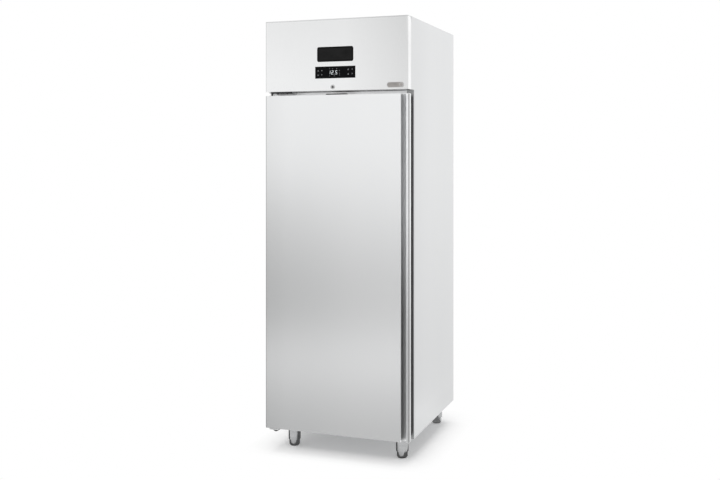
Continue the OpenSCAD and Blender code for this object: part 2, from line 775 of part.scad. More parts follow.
pipe_y = coil_y - 10;
evap_pipe_z = deck_z + compressor_h + 60;
drier_x = evap_x1 + 26;
drier_y = comp_y - 80;
drier_z = cond_z + 8;
drier_len = 120;
drier_r = 10;
module filter_drier() {
  color(copper) translate([drier_x, drier_y, drier_z])
    rotate([90, 0, 0]) rotate_extrude($fn = 32)
      polygon([[0, -drier_len / 2], [pipe_r, -drier_len / 2], [pipe_r, 10 - drier_len / 2],
        [drier_r, 22 - drier_len / 2], [drier_r, drier_len / 2 - 22], [pipe_r, drier_len / 2 - 10],
        [pipe_r, drier_len / 2], [0, drier_len / 2]]);
}

module refrigerant_pipes() {
  suction_x = comp_x - port_offset;
  discharge_x = comp_x + port_offset;
  stub_z = deck_z + port_h;
  liquid_y = cond_y - cond_d / 4;
  color(copper) {
    // Suction line from the evaporator to the compressor
    pipe([[evap_x1 - evap_wall + 1, pipe_y, evap_pipe_z], [suction_x, pipe_y, evap_pipe_z],
      [suction_x, comp_y, evap_pipe_z], [suction_x, comp_y, stub_z]], pipe_r);
    // Discharge line from the compressor to the condenser
    pipe([[discharge_x, comp_y, stub_z], [discharge_x, comp_y, evap_pipe_z + 20],
      [discharge_x, cond_y, evap_pipe_z + 20], [discharge_x, cond_y, cond_z + cond_h]], pipe_r);
    // Liquid line from the condenser to the filter drier
    pipe([[unit_x - cond_w / 2, liquid_y, drier_z], [drier_x, liquid_y, drier_z],
      [drier_x, drier_y + drier_len / 2, drier_z]], pipe_r);
  }
}

module condensate_tray() {
  x0 = evap_x1 + 8;
  x1 = half_w - 14;
  y0 = comp_y + compressor_r + 8;
  y1 = shroud_y - shroud_ring - 14;
  color(galvanised) difference() {
    block([x0, y0, deck_z], [x1, y1, deck_z + 8]);
    block([x0 + tray_t, y0 + tray_t, deck_z + tray_t], [x1 - tray_t, y1 - tray_t, deck_z + 9]);
  }
}

module electrical_box() {
  w = 170;
  d = 120;
  h = 90;
  color([0.8, 0.8, 0.78]) translate([comp_x - 10, body_front + 40 + d / 2, deck_z]) {
    linear_extrude(h - 16) rounded_rect(w, d, 8);
    translate([0, 0, h - 16 - eps]) linear_extrude(16) rounded_rect(w + 6, d + 6, 10);
    for (i = [-2:2]) translate([i * 28, -d / 2 + eps, 22]) rod_y(9, -14, 0, 32);
  }
}

grille_h = cabinet_h - sheet_t - deck_z;
gland_x = -half_w + 120;
gland_z = deck_z + 60;
gland_r = 10;
gland_bore = 5.5;
gland_out = 12;
module rear_grille() {
  x = half_w - sheet_t - bend_r;
  columns = 5;
  rows = floor((grille_h - 110) / 16);
  color(galvanised) difference() {
    block([-x, rear_sheet_y, deck_z + seat], [x, rear_sheet_y + sheet_t, cabinet_h - sheet_t - seat]);
    translate([60, rear_sheet_y, deck_z + grille_h / 2])
      along_y(-1, sheet_t + 1) slots(columns, rows, 96, 16, 78, 7);
    translate([gland_x, 0, gland_z]) rod_y(gland_r + run_fit, rear_sheet_y - 1, rear);
  }
}
module cable_gland() {
  color(dark) translate([gland_x, 0, gland_z]) difference() {
    union() {
      rod_y(gland_r, rear_sheet_y - gland_out, rear - eps, 48);
      rod_y(gland_r + 4, rear_sheet_y - 6, rear_sheet_y - seat, 6);
    }
    rod_y(gland_bore, rear_sheet_y - gland_out - 1, rear + 1, 48);
  }
}

// Hinges

axis_x = -half_w + pivot_x;
axis_y = face + pivot_y;
bracket_t = 6;
bracket_nose = 12;
bracket_x1 = axis_x + 103;
bush_len = 20;
pin_len = bush_len - 4;

module upper_hinge_bracket() {
  top = header_z - seat;
  bottom = top - bracket_t;
  flange_z = door_z1 - 8;
  x0 = axis_x - bracket_nose;
  y0 = axis_y - bracket_nose + 1;
  // The plate stops before the bend of the rail and its flange lies on the cabinet's front
  y1 = body_front - bend_r - seat;
  color([0.2, 0.2, 0.21]) {
    along_z(bottom, top) polygon(path_points([[x0, axis_y], [x0, y0, 8], [bracket_x1, y0, 3],
      [bracket_x1, y1], [x0, y1], [x0, axis_y]]));
    block([x0, body_front - bracket_t, flange_z], [bracket_x1, body_front, bottom + eps]);
    for (x = [axis_x + 33, axis_x + 83])
      translate([x, axis_y - 3, 0]) rod_z(5.5, bottom - 5, bottom + eps, 6);
    translate([axis_x, axis_y, 0]) {
      rod_z(pin_r + 3, bottom - 4, bottom + eps);
      rod_z(pin_r, door_z1 - pin_len, bottom);
    }
  }
}

lower_plate_x1 = axis_x + 38;
flange_t = 2;
module lower_hinge_bracket() {
  x0 = axis_x - bracket_nose;
  y0 = axis_y - bracket_nose + 1;
  y1 = body_front + 32;
  color(steel) {
    along_z(floor_gap - bracket_t, floor_gap) polygon(path_points([[x0, axis_y], [x0, y0, 9],
      [lower_plate_x1, y0, 9], [lower_plate_x1, y1], [x0, y1], [x0, axis_y]]));
    translate([axis_x, axis_y, 0]) rod_z(pin_r, floor_gap - eps, door_z0 + pin_len);
  }
}

// Nylon cam on the lower bracket: a washer under the door and a wedge under the plate
cam_h = door_lift - flange_t - seat;
module closer_cam() {
  color(dark) {
    translate([axis_x, axis_y, 0]) difference() {
      rod_z(bush_r + 2, floor_gap, floor_gap + cam_h);
      rod_z(pin_r + run_fit, floor_gap - 1, floor_gap + cam_h + 1);
    }
    along_y(axis_y - 8, axis_y + 44)
      polygon([[axis_x + 8, floor_gap - bracket_t], [axis_x + 40, floor_gap - bracket_t],
        [axis_x + 27, floor_gap - bracket_t - 7], [axis_x + 20, floor_gap - bracket_t - 7]]);
  }
}

dash_pin_r = 2.5;
dash_boss_t = 3;
dash_foot_h = 34;
ear_t = 3;
module dashboard_hinges() {
  x0 = -half_w + cheek_flange + seat;
  head = dash_pin_r + 1.7;
  foot_z1 = dash_pivot_z - relief_h;
  foot_z0 = foot_z1 - dash_foot_h;
  back = cheek_y + sheet_t;
  color(galvanised) both_sides() {
    along_x(x0, x0 + ear_t) {
      translate([dash_pivot_y, dash_pivot_z]) circle(r = head, $fn = 32);
      polygon([[dash_pivot_y - head, dash_pivot_z], [dash_pivot_y + head, dash_pivot_z],
        [dash_pivot_y + head, foot_z1], [back + ear_t, foot_z1], [back + ear_t, foot_z0],
        [back, foot_z0], [dash_pivot_y - head, foot_z0 + 20]]);
    }
    // Foot that is riveted behind the front flange of the side panel
    block([-half_w + sheet_t + bend_r + seat, back, foot_z0], [x0 + eps, back + ear_t, foot_z1]);
    translate([0, dash_pivot_y, dash_pivot_z]) rod_x(dash_pin_r, -half_w + 0.4, x0 + eps, 32);
  }
}

// Feet

leg_places = [[-half_w + leg_x, front + leg_front], [half_w - leg_x, front + leg_front],
  [-half_w + leg_x, rear - leg_rear], [half_w - leg_x, rear - leg_rear]];
foot_top = sleeve_z + 45;
rim_h = 8;

module leg_sleeves() {
  color(steel) for (p = leg_places) translate([p[0], p[1], 0]) difference() {
    union() {
      rod_z(sleeve_r, sleeve_z, floor_gap, 64);
      rod_z(sleeve_r + 8, floor_gap - 3, floor_gap, 64);
    }
    rod_z(foot_r + run_fit, sleeve_z - 1, floor_gap - 3, 64);
  }
}

// Screwed insert with a chamfered base
module foot(i) {
  color(steel) translate([leg_places[i][0], leg_places[i][1], 0])
    rotate_extrude($fn = 64)
      polygon([[0, 0], [foot_r - 6, 0], [foot_r, rim_h], [foot_r, foot_top], [foot_r - 4, foot_top],
        [foot_r - 4, sleeve_z], [0, sleeve_z]]);
}
module foot_front_left() foot(0);
module foot_front_right() foot(1);
module foot_rear_left() foot(2);
module foot_rear_right() foot(3);

// Header panel and what it carries

lock_place = [-lock_x, header_z + lock_z];
lock_barrel_r = 9;
tongue_y = face + 24.5;
tongue_t = 2.5;
tongue_w = 10;
tongue_len = lock_z + door_gap_top - 2;

module dashboard_panel() {
  plan = [[-half_w, face + header_ret], [-half_w, face, bend_r], [half_w, face, bend_r],
    [half_w, face + header_ret]];
  slot_x1 = lock_place[0] + tongue_len * cos(asin(lock_z / tongue_len)) + 10;
  color(steel) difference() {
    union() {
      along_z(header_z, cabinet_h) sheet_section(plan, sheet_t);
      for (z = [header_z, cabinet_h - sheet_t]) along_z(z, z + sheet_t) polygon(path_points(plan));
      both_sides() translate([0, dash_pivot_y, dash_pivot_z])
        rod_x(5, -half_w + sheet_t - eps, -half_w + sheet_t + dash_boss_t, 32);
    }
    both_sides() translate([0, dash_pivot_y, dash_pivot_z])
      rod_x(dash_pin_r + run_fit, -half_w - 1, -half_w + sheet_t + dash_boss_t + 1, 32);
    translate([0, 0, header_z + control_z])
      block([-spigot_w / 2 - seat, face - 1, -spigot_h / 2 - seat],
        [spigot_w / 2 + seat, face + sheet_t + 1, spigot_h / 2 + seat]);
    translate([lock_place[0], 0, lock_place[1]]) rod_y(lock_barrel_r + seat, face - 1, face + sheet_t + 1);
    // Slot for the tongue of the lock
    block([lock_place[0] - tongue_w / 2 - 2, tongue_y - 2, header_z - 1],
      [slot_x1, tongue_y + tongue_t + 2, header_z + sheet_t + 1]);
  }
}

spigot_w = control_w - 12;
spigot_h = control_h - 12;
module touch_control() {
  color([0.02, 0.02, 0.025]) translate([0, 0, header_z + control_z]) {
    along_y(front, face) square([control_w, control_h], center = true);
    along_y(face - eps, face + spigot_d) square([spigot_w, spigot_h], center = true);
  }
}
spigot_d = 6;
box_d = 24;
plug_pitch = 32;
plug_w = 22;
plug_d = 7;
module control_box() {
  y0 = face + spigot_d;
  y1 = y0 + box_d;
  claw_x = spigot_w / 2 + 5;
  claw_h = spigot_h / 4;
  color(dark) translate([0, 0, header_z + control_z]) {
    along_y(y0, y1) rounded_rect(spigot_w + 20, spigot_h + 12, 4);
    // Plugs of the wiring
    for (i = [-2:2])
      block([i * plug_pitch - plug_w / 2, y1 - eps, -14], [i * plug_pitch + plug_w / 2, y1 + plug_d, 2]);
    // Claws that grip the sheet from behind
    for (s = [-1, 1])
      block([s * claw_x - 4, face + sheet_t, -claw_h], [s * claw_x + 4, y0 + eps, claw_h]);
  }
}
module name_plate() {
  color([0.05, 0.05, 0.05]) translate([0, 0, header_z + plate_z])
    along_y(front, face) rounded_rect(plate_w, plate_h, 9);
}
module badge() {
  color([0.7, 0.69, 0.68]) translate([half_w - badge_x, 0, header_z + badge_z])
    along_y(front, face) rounded_rect(badge_w, badge_h, badge_h / 2 - 0.5);
}

module lock_housing() {
  color(steel) translate([lock_place[0], 0, lock_place[1]]) difference() {
    union() {
      rod_y(lock_r, front, face);
      rod_y(lock_barrel_r, face - eps, tongue_y - 0.5);
      rod_y(lock_barrel_r + 4, face + sheet_t, face + sheet_t + 5, 6);
    }
    rod_y(6 + run_fit, front - 1, tongue_y);
  }
}
module lock_cylinder() {
  color(galvanised) translate([lock_place[0], 0, lock_place[1]]) difference() {
    union() {
      rod_y(6, front + 0.2, tongue_y + eps);
      along_y(tongue_y, tongue_y + tongue_t) {
        circle(r = tongue_w / 2 + 2, $fn = 32);
        box_xy(0, tongue_len - tongue_w / 2, -tongue_w / 2, tongue_w / 2);
        translate([tongue_len - tongue_w / 2, 0]) circle(r = tongue_w / 2, $fn = 32);
      }
    }
    block([-0.7, front, -4], [0.7, front + 6, 4]);
  }
}

// Door

// Right edge of the face, where the sheet folds into the channel
face_x = half_w - channel_w;
pan_lip = 14;
pan_y1 = face + door_pan_d;
nose_r = handle_t + 0.6;
hollow_x = face_x - undercut;
floor_x = hollow_x + 6;
lap_y = face + lip_d + handle_t;

// Visible line of the outer panel, from its rear lip round to the lip over the channel
pan_path = [[-half_w + pan_lip, pan_y1], [-half_w, pan_y1, bend_r], [-half_w, face, bend_r],
  [face_x, face, 1.8], [face_x, face + lip_d, 1.8], [face_x - undercut + 2, face + lip_d]];

// Visible line of the handle profile: under the lip, down the hollow, along a floor that
// sweeps up as a quarter ellipse, round the nose and back along the side of the door
handle_line = concat(
  path_points([[face_x - 3, lap_y], [hollow_x, lap_y, 1.5], [hollow_x, face + channel_d, 5],
    [floor_x, face + channel_d]]),
  [for (i = [1:arc_steps])
    let (a = 90 * i / arc_steps)
    [floor_x + (half_w - 2 * nose_r - floor_x) * sin(a), face + nose_r + (channel_d - nose_r) * cos(a)]],
  [for (i = [1:8]) [half_w - nose_r, face + nose_r] + nose_r * dir(180 + 22.5 * i)],
  path_points([[half_w, face + 2 * nose_r], [half_w, pan_y1, bend_r], [half_w - pan_lip, pan_y1]]));
handle_inner = side_line(handle_line, handle_t);

door_plan = concat(
  [for (i = [0:len(path_points(pan_path)) - 2]) path_points(pan_path)[i]], handle_line);

module door_outer_panel() {
  color(steel) difference() {
    union() {
      along_z(door_z0, door_z1) sheet_section(pan_path, sheet_t);
      for (z = [door_z0, door_z1 - sheet_t]) along_z(z, z + sheet_t) polygon(door_plan);
    }
    translate([axis_x, axis_y, 0]) rod_z(bush_r + seat / 3, door_z0 - 1, door_z1 + 1);
  }
}

module handle_profile() {
  color(steel) along_z(door_z0 + sheet_t, door_z1 - sheet_t)
    polygon(concat(handle_line, reversed(handle_inner)));
}

inner_inset = 12;
inner_t = 1.5;
plateau = 8;
plateau_inset = seal_w + frame_w + 12;
door_mid = (door_z0 + door_z1) / 2;
door_half_h = (door_z1 - door_z0) / 2;

module door_insulation() {
  c = bend_r;
  y0 = face + sheet_t;
  y1 = pan_y1 - max(sheet_t, handle_t);
  first = 1 + bend_steps + 1;
  last = len(handle_line) - bend_steps - 12 - 3;
  rim = inner_inset + inner_t + seat;
  color(foam_yellow) difference() {
    union() {
      along_z(door_z0 + sheet_t, door_z1 - sheet_t)
        polygon(concat([[-half_w + sheet_t + c, y1], [-half_w + sheet_t, y1 - c],
            [-half_w + sheet_t, y0 + c], [-half_w + sheet_t + c, y0],
            [handle_inner[first][0], y0]],
          [for (i = [first:last]) handle_inner[i]],
          [[half_w - handle_t, handle_inner[last][1]], [half_w - handle_t, y1 - c],
            [half_w - handle_t - c, y1]]));
      block([-half_w + pan_lip + seat, y1 - eps, door_z0 + sheet_t + rim],
        [half_w - pan_lip - seat, face + door_t - inner_t - seat, door_z1 - sheet_t - rim]);
    }
    translate([axis_x, axis_y, 0]) {
      rod_z(bush_r + seat, door_z0, door_z0 + bush_len + seat);
      rod_z(bush_r + seat, door_z1 - bush_len - seat, door_z1);
    }
  }
}

// Block whose four sides slope in towards its rear face
module tapered_block(half_x, half_z, y0, y1, slope) {
  intersection() {
    along_z(door_mid - half_z - 1, door_mid + half_z + 1)
      polygon([[-half_x, y0], [half_x, y0], [half_x - slope, y1], [-half_x + slope, y1]]);
    along_x(-half_x - 1, half_x + 1)
      polygon([[y0, door_mid - half_z], [y0, door_mid + half_z], [y1, door_mid + half_z - slope],
        [y1, door_mid - half_z + slope]]);
  }
}

module door_inner_panel() {
  x = half_w - inner_inset;
  z = door_half_h - inner_inset;
  y1 = face + door_t;
  px = half_w - plateau_inset;
  pz = door_half_h - plateau_inset;
  color([0.35, 0.36, 0.37]) difference() {
    union() {
      block([-x, pan_y1, door_mid - z], [x, y1, door_mid + z]);
      tapered_block(px, pz, y1 - eps, y1 + plateau, 6);
    }
    block([-x + inner_t, pan_y1 - 1, door_mid - z + inner_t],
      [x - inner_t, y1 - inner_t, door_mid + z - inner_t]);
    tapered_block(px - inner_t, pz - inner_t, y1 - inner_t - eps, y1 + plateau - inner_t, 6);
  }
}

// Gasket: foot on the inner panel, bellows and magnet head against the cabinet
gasket_line = 22;
module door_gasket() {
  y0 = face + door_t;
  y1 = body_front - seat;
  color([0.12, 0.12, 0.13]) translate([0, 0, door_mid])
    mitred_frame(cabinet_w - 2 * gasket_line, 2 * (door_half_h - gasket_line), -eps)
      polygon(concat([[-9, y0], [9, y0], [9, y0 + 2], [5, y0 + 3], [4, y0 + 5], [6, y0 + 8], [9, y1 - 6]],
        [[9.5, y1 - 1], [9, y1], [-9, y1], [-9.5, y1 - 1], [-9, y1 - 6], [-6, y0 + 8], [-4, y0 + 5],
          [-5, y0 + 3], [-9, y0 + 2]]));
}

module hinge_bush() {
  difference() {
    union() {
      rod_z(bush_r, -bush_len, 0);
      rod_z(bush_r + 3, 0, flange_t);
    }
    rod_z(pin_r + run_fit, -bush_len - 1, flange_t + 1);
  }
}
module hinge_bushes() {
  color([0.15, 0.15, 0.16]) translate([axis_x, axis_y, 0]) {
    translate([0, 0, door_z1]) hinge_bush();
    translate([0, 0, door_z0]) mirror([0, 0, 1]) hinge_bush();
  }
}

module lock_keeper() {
  half = keeper_w / 2;
  y_mid = tongue_y + tongue_t / 2;
  color(dark) difference() {
    along_y(y_mid - 7, y_mid + 7)
      polygon([[-half, door_z1], [half, door_z1], [half - 8, door_z1 + keeper_h],
        [-half + 2, door_z1 + keeper_h]]);
    block([lock_place[0] - tongue_w / 2 - 2, tongue_y - 1.5, door_z1 + 1],
      [lock_place[0] + tongue_len * cos(asin((tongue_len + 1 - keeper_h) / tongue_len)) + tongue_w / 2 + 4,
        tongue_y + tongue_t + 1.5, door_z1 + keeper_h + 1]);
  }
}

side_panel_left();
side_panel_right();
rear_panel();
top_panel();
base_panel();
upper_front_rail();
machine_deck();
front_frame();
insulation();
liner_left();
liner_right();
liner_rear();
liner_ceiling();
liner_floor();
rack_uprights();
shelf_runners();
grid_shelf_1();
grid_shelf_2();
grid_shelf_3();
cabin_lamp();
evaporator_box();
evaporator_coil();
drip_tray();
evaporator_fan_motor();
evaporator_fan_guard();
evaporator_fan();
compressor();
condenser();
condenser_shroud();
condenser_fan_motor();
condenser_fan();
filter_drier();
refrigerant_pipes();
condensate_tray();
electrical_box();
rear_grille();
cable_gland();
upper_hinge_bracket();
lower_hinge_bracket();
closer_cam();
dashboard_hinges();
leg_sleeves();
foot_front_left();
foot_front_right();
foot_rear_left();
foot_rear_right();
dashboard_panel();
touch_control();
control_box();
name_plate();
badge();
lock_housing();
lock_cylinder();
door_outer_panel();
handle_profile();
door_insulation();
door_inner_panel();
door_gasket();
hinge_bushes();
lock_keeper();
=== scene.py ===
import math

import bpy
import numpy as np
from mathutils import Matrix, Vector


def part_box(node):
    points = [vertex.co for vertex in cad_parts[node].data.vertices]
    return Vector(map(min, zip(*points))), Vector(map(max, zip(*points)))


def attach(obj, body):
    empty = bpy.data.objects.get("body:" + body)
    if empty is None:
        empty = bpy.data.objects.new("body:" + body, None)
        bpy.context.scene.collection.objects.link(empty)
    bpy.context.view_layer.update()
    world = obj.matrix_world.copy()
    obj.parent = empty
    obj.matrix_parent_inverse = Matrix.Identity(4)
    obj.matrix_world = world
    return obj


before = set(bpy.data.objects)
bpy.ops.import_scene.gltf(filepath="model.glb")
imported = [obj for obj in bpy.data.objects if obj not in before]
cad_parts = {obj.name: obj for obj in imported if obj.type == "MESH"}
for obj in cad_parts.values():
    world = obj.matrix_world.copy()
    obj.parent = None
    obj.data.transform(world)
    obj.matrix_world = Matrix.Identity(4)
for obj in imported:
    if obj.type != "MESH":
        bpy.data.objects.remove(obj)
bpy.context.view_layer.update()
bpy.context.scene.view_settings.view_transform = "Standard"

# Places in metres that finishes and lights refer to: the door's left edge and front, the
# header panel's lower edge, and the cabinet's right side and top.

MM = 0.001
LEFT, FRONT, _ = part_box("door_outer_panel")[0]
_, _, HEADER_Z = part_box("dashboard_panel")[0]
RIGHT, _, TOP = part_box("dashboard_panel")[1]


def add_object(name, data):
    """A new object with the given data, in the scene."""
    obj = bpy.data.objects.new(name, data)
    bpy.context.scene.collection.objects.link(obj)
    return obj


# Camera at the photograph's place, level and turned to the left. Its axis meets the picture
# away from the middle, at SIGHT in pixels, which the shifts make up for.

CAMERA_PLACE = (1.636, -4.428, 1.4586)
CAMERA_TURN = math.radians(19.64)
PICTURE = (720, 480)
SIGHT = (375, 149.2)

camera_data = bpy.data.cameras.new("camera")
camera = add_object("camera", camera_data)
bpy.context.scene.camera = camera
camera.location = CAMERA_PLACE
camera.rotation_euler = (math.pi / 2, 0, CAMERA_TURN)
camera_data.lens = 46.42
camera_data.sensor_width = 36
camera_data.shift_x = (PICTURE[0] / 2 - SIGHT[0]) / PICTURE[0]
camera_data.shift_y = (SIGHT[1] - PICTURE[1] / 2) / PICTURE[0]
camera_data.clip_end = 100


# Node helpers for the materials.


def new_material(name):
    """A material with only an output node: the material, its tree and the output."""
    material = bpy.data.materials.new(name)
    material.use_nodes = True
    tree = material.node_tree
    tree.nodes.clear()
    out = tree.nodes.new("ShaderNodeOutputMaterial")
    return material, tree, out


def object_place(tree):
    """Place on the object, in metres."""
    return tree.nodes.new("ShaderNodeTexCoord").outputs["Object"]


def noise(tree, stretch, detail=3.0):
    """Noise on the object's place, stretched by three scales in cycles per metre."""
    mapping = tree.nodes.new("ShaderNodeMapping")
    mapping.inputs["Scale"].default_value = stretch
    texture = tree.nodes.new("ShaderNodeTexNoise")
    texture.inputs["Scale"].default_value = 1.0
    texture.inputs["Detail"].default_value = detail
    texture.inputs["Roughness"].default_value = 0.6
    tree.links.new(object_place(tree), mapping.inputs["Vector"])
    tree.links.new(mapping.outputs["Vector"], texture.inputs["Vector"])
    return texture.outputs["Fac"]


def spread(tree, value, low, high, start=0.3, end=0.7):
    """Maps a value from start..end to low..high and holds it there."""
    node = tree.nodes.new("ShaderNodeMapRange")
    node.inputs["From Min"].default_value = start
    node.inputs["From Max"].default_value = end
    node.inputs["To Min"].default_value = low
    node.inputs["To Max"].default_value = high
    tree.links.new(value, node.inputs["Value"])
    return node.outputs["Result"]


def along(tree, axis, start, end, low, high):
    """A value that goes from low to high between two places on an axis of the object."""
    split = tree.nodes.new("ShaderNodeSeparateXYZ")
    tree.links.new(object_place(tree), split.inputs["Vector"])
    return spread(tree, split.outputs[axis], low, high, start, end)


def combine(tree, operation, first, second):
    """A value or a number, and a second value, joined by an operation of the Math node."""
    node = tree.nodes.new("ShaderNodeMath")
    node.operation = operation
    if isinstance(first, float):
        node.inputs[0].default_value = first
    else:
        tree.links.new(first, node.inputs[0])
    tree.links.new(second, node.inputs[1])
    return node.outputs[0]


def blend(tree, first, second, share):
    """A share of the second value and the rest of the first."""
    mix = tree.nodes.new("ShaderNodeMix")
    mix.inputs["Factor"].default_value = share
    tree.links.new(first, mix.inputs["A"])
    tree.links.new(second, mix.inputs["B"])
    return mix.outputs["Result"]


def two_tone(tree, value, dark, light):
    """Blends two colours by a value of 0..1."""
    mix = tree.nodes.new("ShaderNodeMix")
    mix.data_type = "RGBA"
    mix.inputs["A"].default_value = (*dark, 1)
    mix.inputs["B"].default_value = (*light, 1)
    tree.links.new(value, mix.inputs["Factor"])
    return mix.outputs["Result"]


def shaded(tree, colour, value):
    """The colour times a value."""
    mix = tree.nodes.new("ShaderNodeMix")
    mix.data_type = "RGBA"
    mix.blend_type = "MULTIPLY"
    mix.inputs["Factor"].default_value = 1.0
    tree.links.new(colour, mix.inputs["A"])
    tree.links.new(value, mix.inputs["B"])
    return mix.outputs["Result"]


def corner(tree, first, second, low):
    """1, and low where both axes are past their ends. first, second: (axis, start, end)."""
    both = combine(tree, "MULTIPLY", along(tree, *first, 0, 1), along(tree, *second, 0, 1))
    return spread(tree, both, 1, low, 0, 1)


def bump(tree, value, height):
    """Bump of the given height in metres from a value of 0..1."""
    node = tree.nodes.new("ShaderNodeBump")
    node.inputs["Distance"].default_value = height
    tree.links.new(value, node.inputs["Height"])
    return node.outputs["Normal"]


def surface_finish(name, dark, light, metallic, rough, tone, grain, height, level=0.5,
                   falls=(), corners=(), share=0.3):
    """Finish with a slow change of tone between two colours, a fine grain that moves the
    roughness between two values, and a bump from the same grain. tone and grain are the
    scales of the two noises, and share is the grain's part in the tone.
    falls: (axis, start, end, low, high) each multiplies the colour along an axis of the
    object. corners: (first, second, factor) does so where two axes meet."""
    material, tree, out = new_material(name)
    shader = tree.nodes.new("ShaderNodeBsdfPrincipled")
    shader.inputs["Metallic"].default_value = metallic
    shader.inputs["Specular IOR Level"].default_value = level
    fine = noise(tree, grain, 2.0)
    slow = noise(tree, tone, 2.0)
    colour = two_tone(tree, spread(tree, blend(tree, slow, fine, share), 0, 1), dark, light)
    # falls and corners paint shade and highlights into the colour.
    for fall in falls:
        colour = shaded(tree, colour, along(tree, *fall))
    for place in corners:
        colour = shaded(tree, colour, corner(tree, *place))
    tree.links.new(colour, shader.inputs["Base Color"])
    tree.links.new(spread(tree, fine, *rough), shader.inputs["Roughness"])
    tree.links.new(bump(tree, fine, height), shader.inputs["Normal"])
    tree.links.new(shader.outputs["BSDF"], out.inputs["Surface"])
    return material


# Satin sheet: the grain runs up the sheet on the front and sides, along Y on flat ones and along
# X on the rail. The door, header, side and handle steels are one satin steel, their colours set
# lighter or darker as painted light and shade.

SHEET_TONE = (2.0, 2.0, 0.8)
FLAT_TONE = (2.0, 2.0, 2.0)
GRAIN_UP = (900, 900, 14)
GRAIN_BACK = (900, 14, 900)
GRAIN_ACROSS = (14, 900, 900)

# Painted shade on the door: a dark line along its left edge and a gentle darkening over the left
# 120 mm; the corner adds a painted highlight on the lip's side inside the finger channel.
steel_front = surface_finish(
    "satin_steel_front", (0.840, 0.848, 0.853), (0.862, 0.867, 0.872), 1.0, (0.17, 0.20),
    SHEET_TONE, GRAIN_UP, 0.000003, share=0.12,
    falls=(("X", LEFT + 4 * MM, LEFT + 6 * MM, 0.70, 1.0),
           ("X", LEFT, LEFT + 120 * MM, 0.945, 1.0)),
    corners=((("X", RIGHT - 60 * MM, RIGHT - 58 * MM),
              ("Y", FRONT + 0.3 * MM, FRONT + 1.3 * MM), 1.15),))
# Painted shade and light on the header: darker towards the right and towards the top, a darker
# band along the top edge and a dark line at the left edge, a little lighter towards the left; the
# corners add painted highlights on the right-hand bend and up the right edge towards the top.
steel_header = surface_finish(
    "satin_steel_header", (0.868, 0.874, 0.877), (0.884, 0.888, 0.891), 1.0, (0.245, 0.275),
    SHEET_TONE, GRAIN_UP, 0.000003, share=0.12,
    falls=(("X", RIGHT - 310 * MM, RIGHT - 20 * MM, 1.0, 0.85),
           ("Z", TOP - 290 * MM, TOP - 20 * MM, 1.0, 0.92),
           ("Z", TOP - 5.5 * MM, TOP - 4.5 * MM, 1.0, 0.82),
           ("X", LEFT, LEFT + 260 * MM, 1.025, 1.0),
           ("X", LEFT + 3 * MM, LEFT + 5 * MM, 0.80, 1.0)),
    corners=((("X", RIGHT - 10 * MM, RIGHT - 5 * MM),
              ("Y", FRONT + 0.6 * MM, FRONT + 1.6 * MM), 1.26),
             (("X", RIGHT - 10 * MM, RIGHT - 5 * MM),
              ("Z", TOP - 140 * MM, TOP - 10 * MM), 1.14)))
# Painted shade on the sides: darker towards the front edge, below about 1.35 m and near the
# floor, and the corner paints a dark line along the front edge below the header, beside the
# door's gap.
steel_side = surface_finish(
    "satin_steel_side", (0.76, 0.768, 0.773), (0.78, 0.787, 0.792), 1.0, (0.32, 0.37),
    SHEET_TONE, GRAIN_UP, 0.000004, share=0.12,
    falls=(("Y", -0.31, -0.05, 0.96, 1.0), ("Z", 1.35, 0.95, 1.0, 0.965),
           ("Z", 0.22, 0.12, 1.0, 0.95)),
    corners=((("Y", -0.3105, -0.3125), ("Z", HEADER_Z + 2 * MM, HEADER_Z - 2 * MM), 0.55),))
steel_flat = surface_finish(
    "satin_steel_flat", (0.74, 0.75, 0.755), (0.79, 0.80, 0.80), 1.0, (0.28, 0.36),
    FLAT_TONE, GRAIN_BACK, 0.000006, share=0.2)
steel_rail = surface_finish(
    "rail_steel", (0.88, 0.885, 0.89), (0.91, 0.915, 0.92), 1.0, (0.30, 0.36),
    FLAT_TONE, GRAIN_ACROSS, 0.000006, share=0.12)
steel_liner = surface_finish(
    "liner_steel", (0.73, 0.74, 0.745), (0.79, 0.795, 0.80), 1.0, (0.26, 0.38),
    (3.0, 3.0, 1.0), (700, 700, 20), 0.00001)
# Painted light and shade in the finger channel: lighter towards the nose, darker towards the
# bottom in the channel and on the nose, and a painted dark band at the front of the door's side,
# standing for the shade of a groove that the shape lacks.
steel_handle = surface_finish(
    "handle_steel", (0.77, 0.778, 0.783), (0.80, 0.805, 0.81), 1.0, (0.38, 0.44),
    SHEET_TONE, (900, 900, 10), 0.000003, share=0.12,
    falls=(("X", RIGHT - 42 * MM, RIGHT - 34 * MM, 0.95, 1.25),),
    corners=((("X", RIGHT - 18 * MM, RIGHT - 38 * MM), ("Z", 1.15, 0.70), 0.62),
             (("X", RIGHT - 14 * MM, RIGHT - 12 * MM), ("Z", 1.15, 0.60), 0.74),
             (("X", RIGHT - 3.5 * MM, RIGHT - 2.5 * MM),
              ("Y", FRONT + 21.3 * MM, FRONT + 18.3 * MM), 0.48)))
# Painted shade on the feet: a low colour that stands for dark surroundings seen in the steel,
# darker still towards the floor as painted contact shade.
steel_turned = surface_finish(
    "turned_steel", (0.42, 0.425, 0.43), (0.50, 0.505, 0.51), 1.0, (0.14, 0.20),
    (9, 9, 60), (60, 60, 1500), 0.000006, falls=(("Z", 2 * MM, 6 * MM, 0.15, 1.0),))
steel_wire = surface_finish(
    "polished_wire", (0.72, 0.73, 0.735), (0.80, 0.80, 0.81), 1.0, (0.14, 0.24),
    (14, 14, 14), (500, 500, 500), 0.000008)
coil_fins = surface_finish(
    "coil_fins", (0.55, 0.56, 0.58), (0.72, 0.73, 0.75), 1.0, (0.35, 0.5),
    (12, 12, 30), (500, 80, 80), 0.00005)
copper = surface_finish(
    "copper_pipe", (0.52, 0.27, 0.17), (0.82, 0.47, 0.32), 1.0, (0.25, 0.42),
    (22, 22, 22), (240, 240, 240), 0.00002)
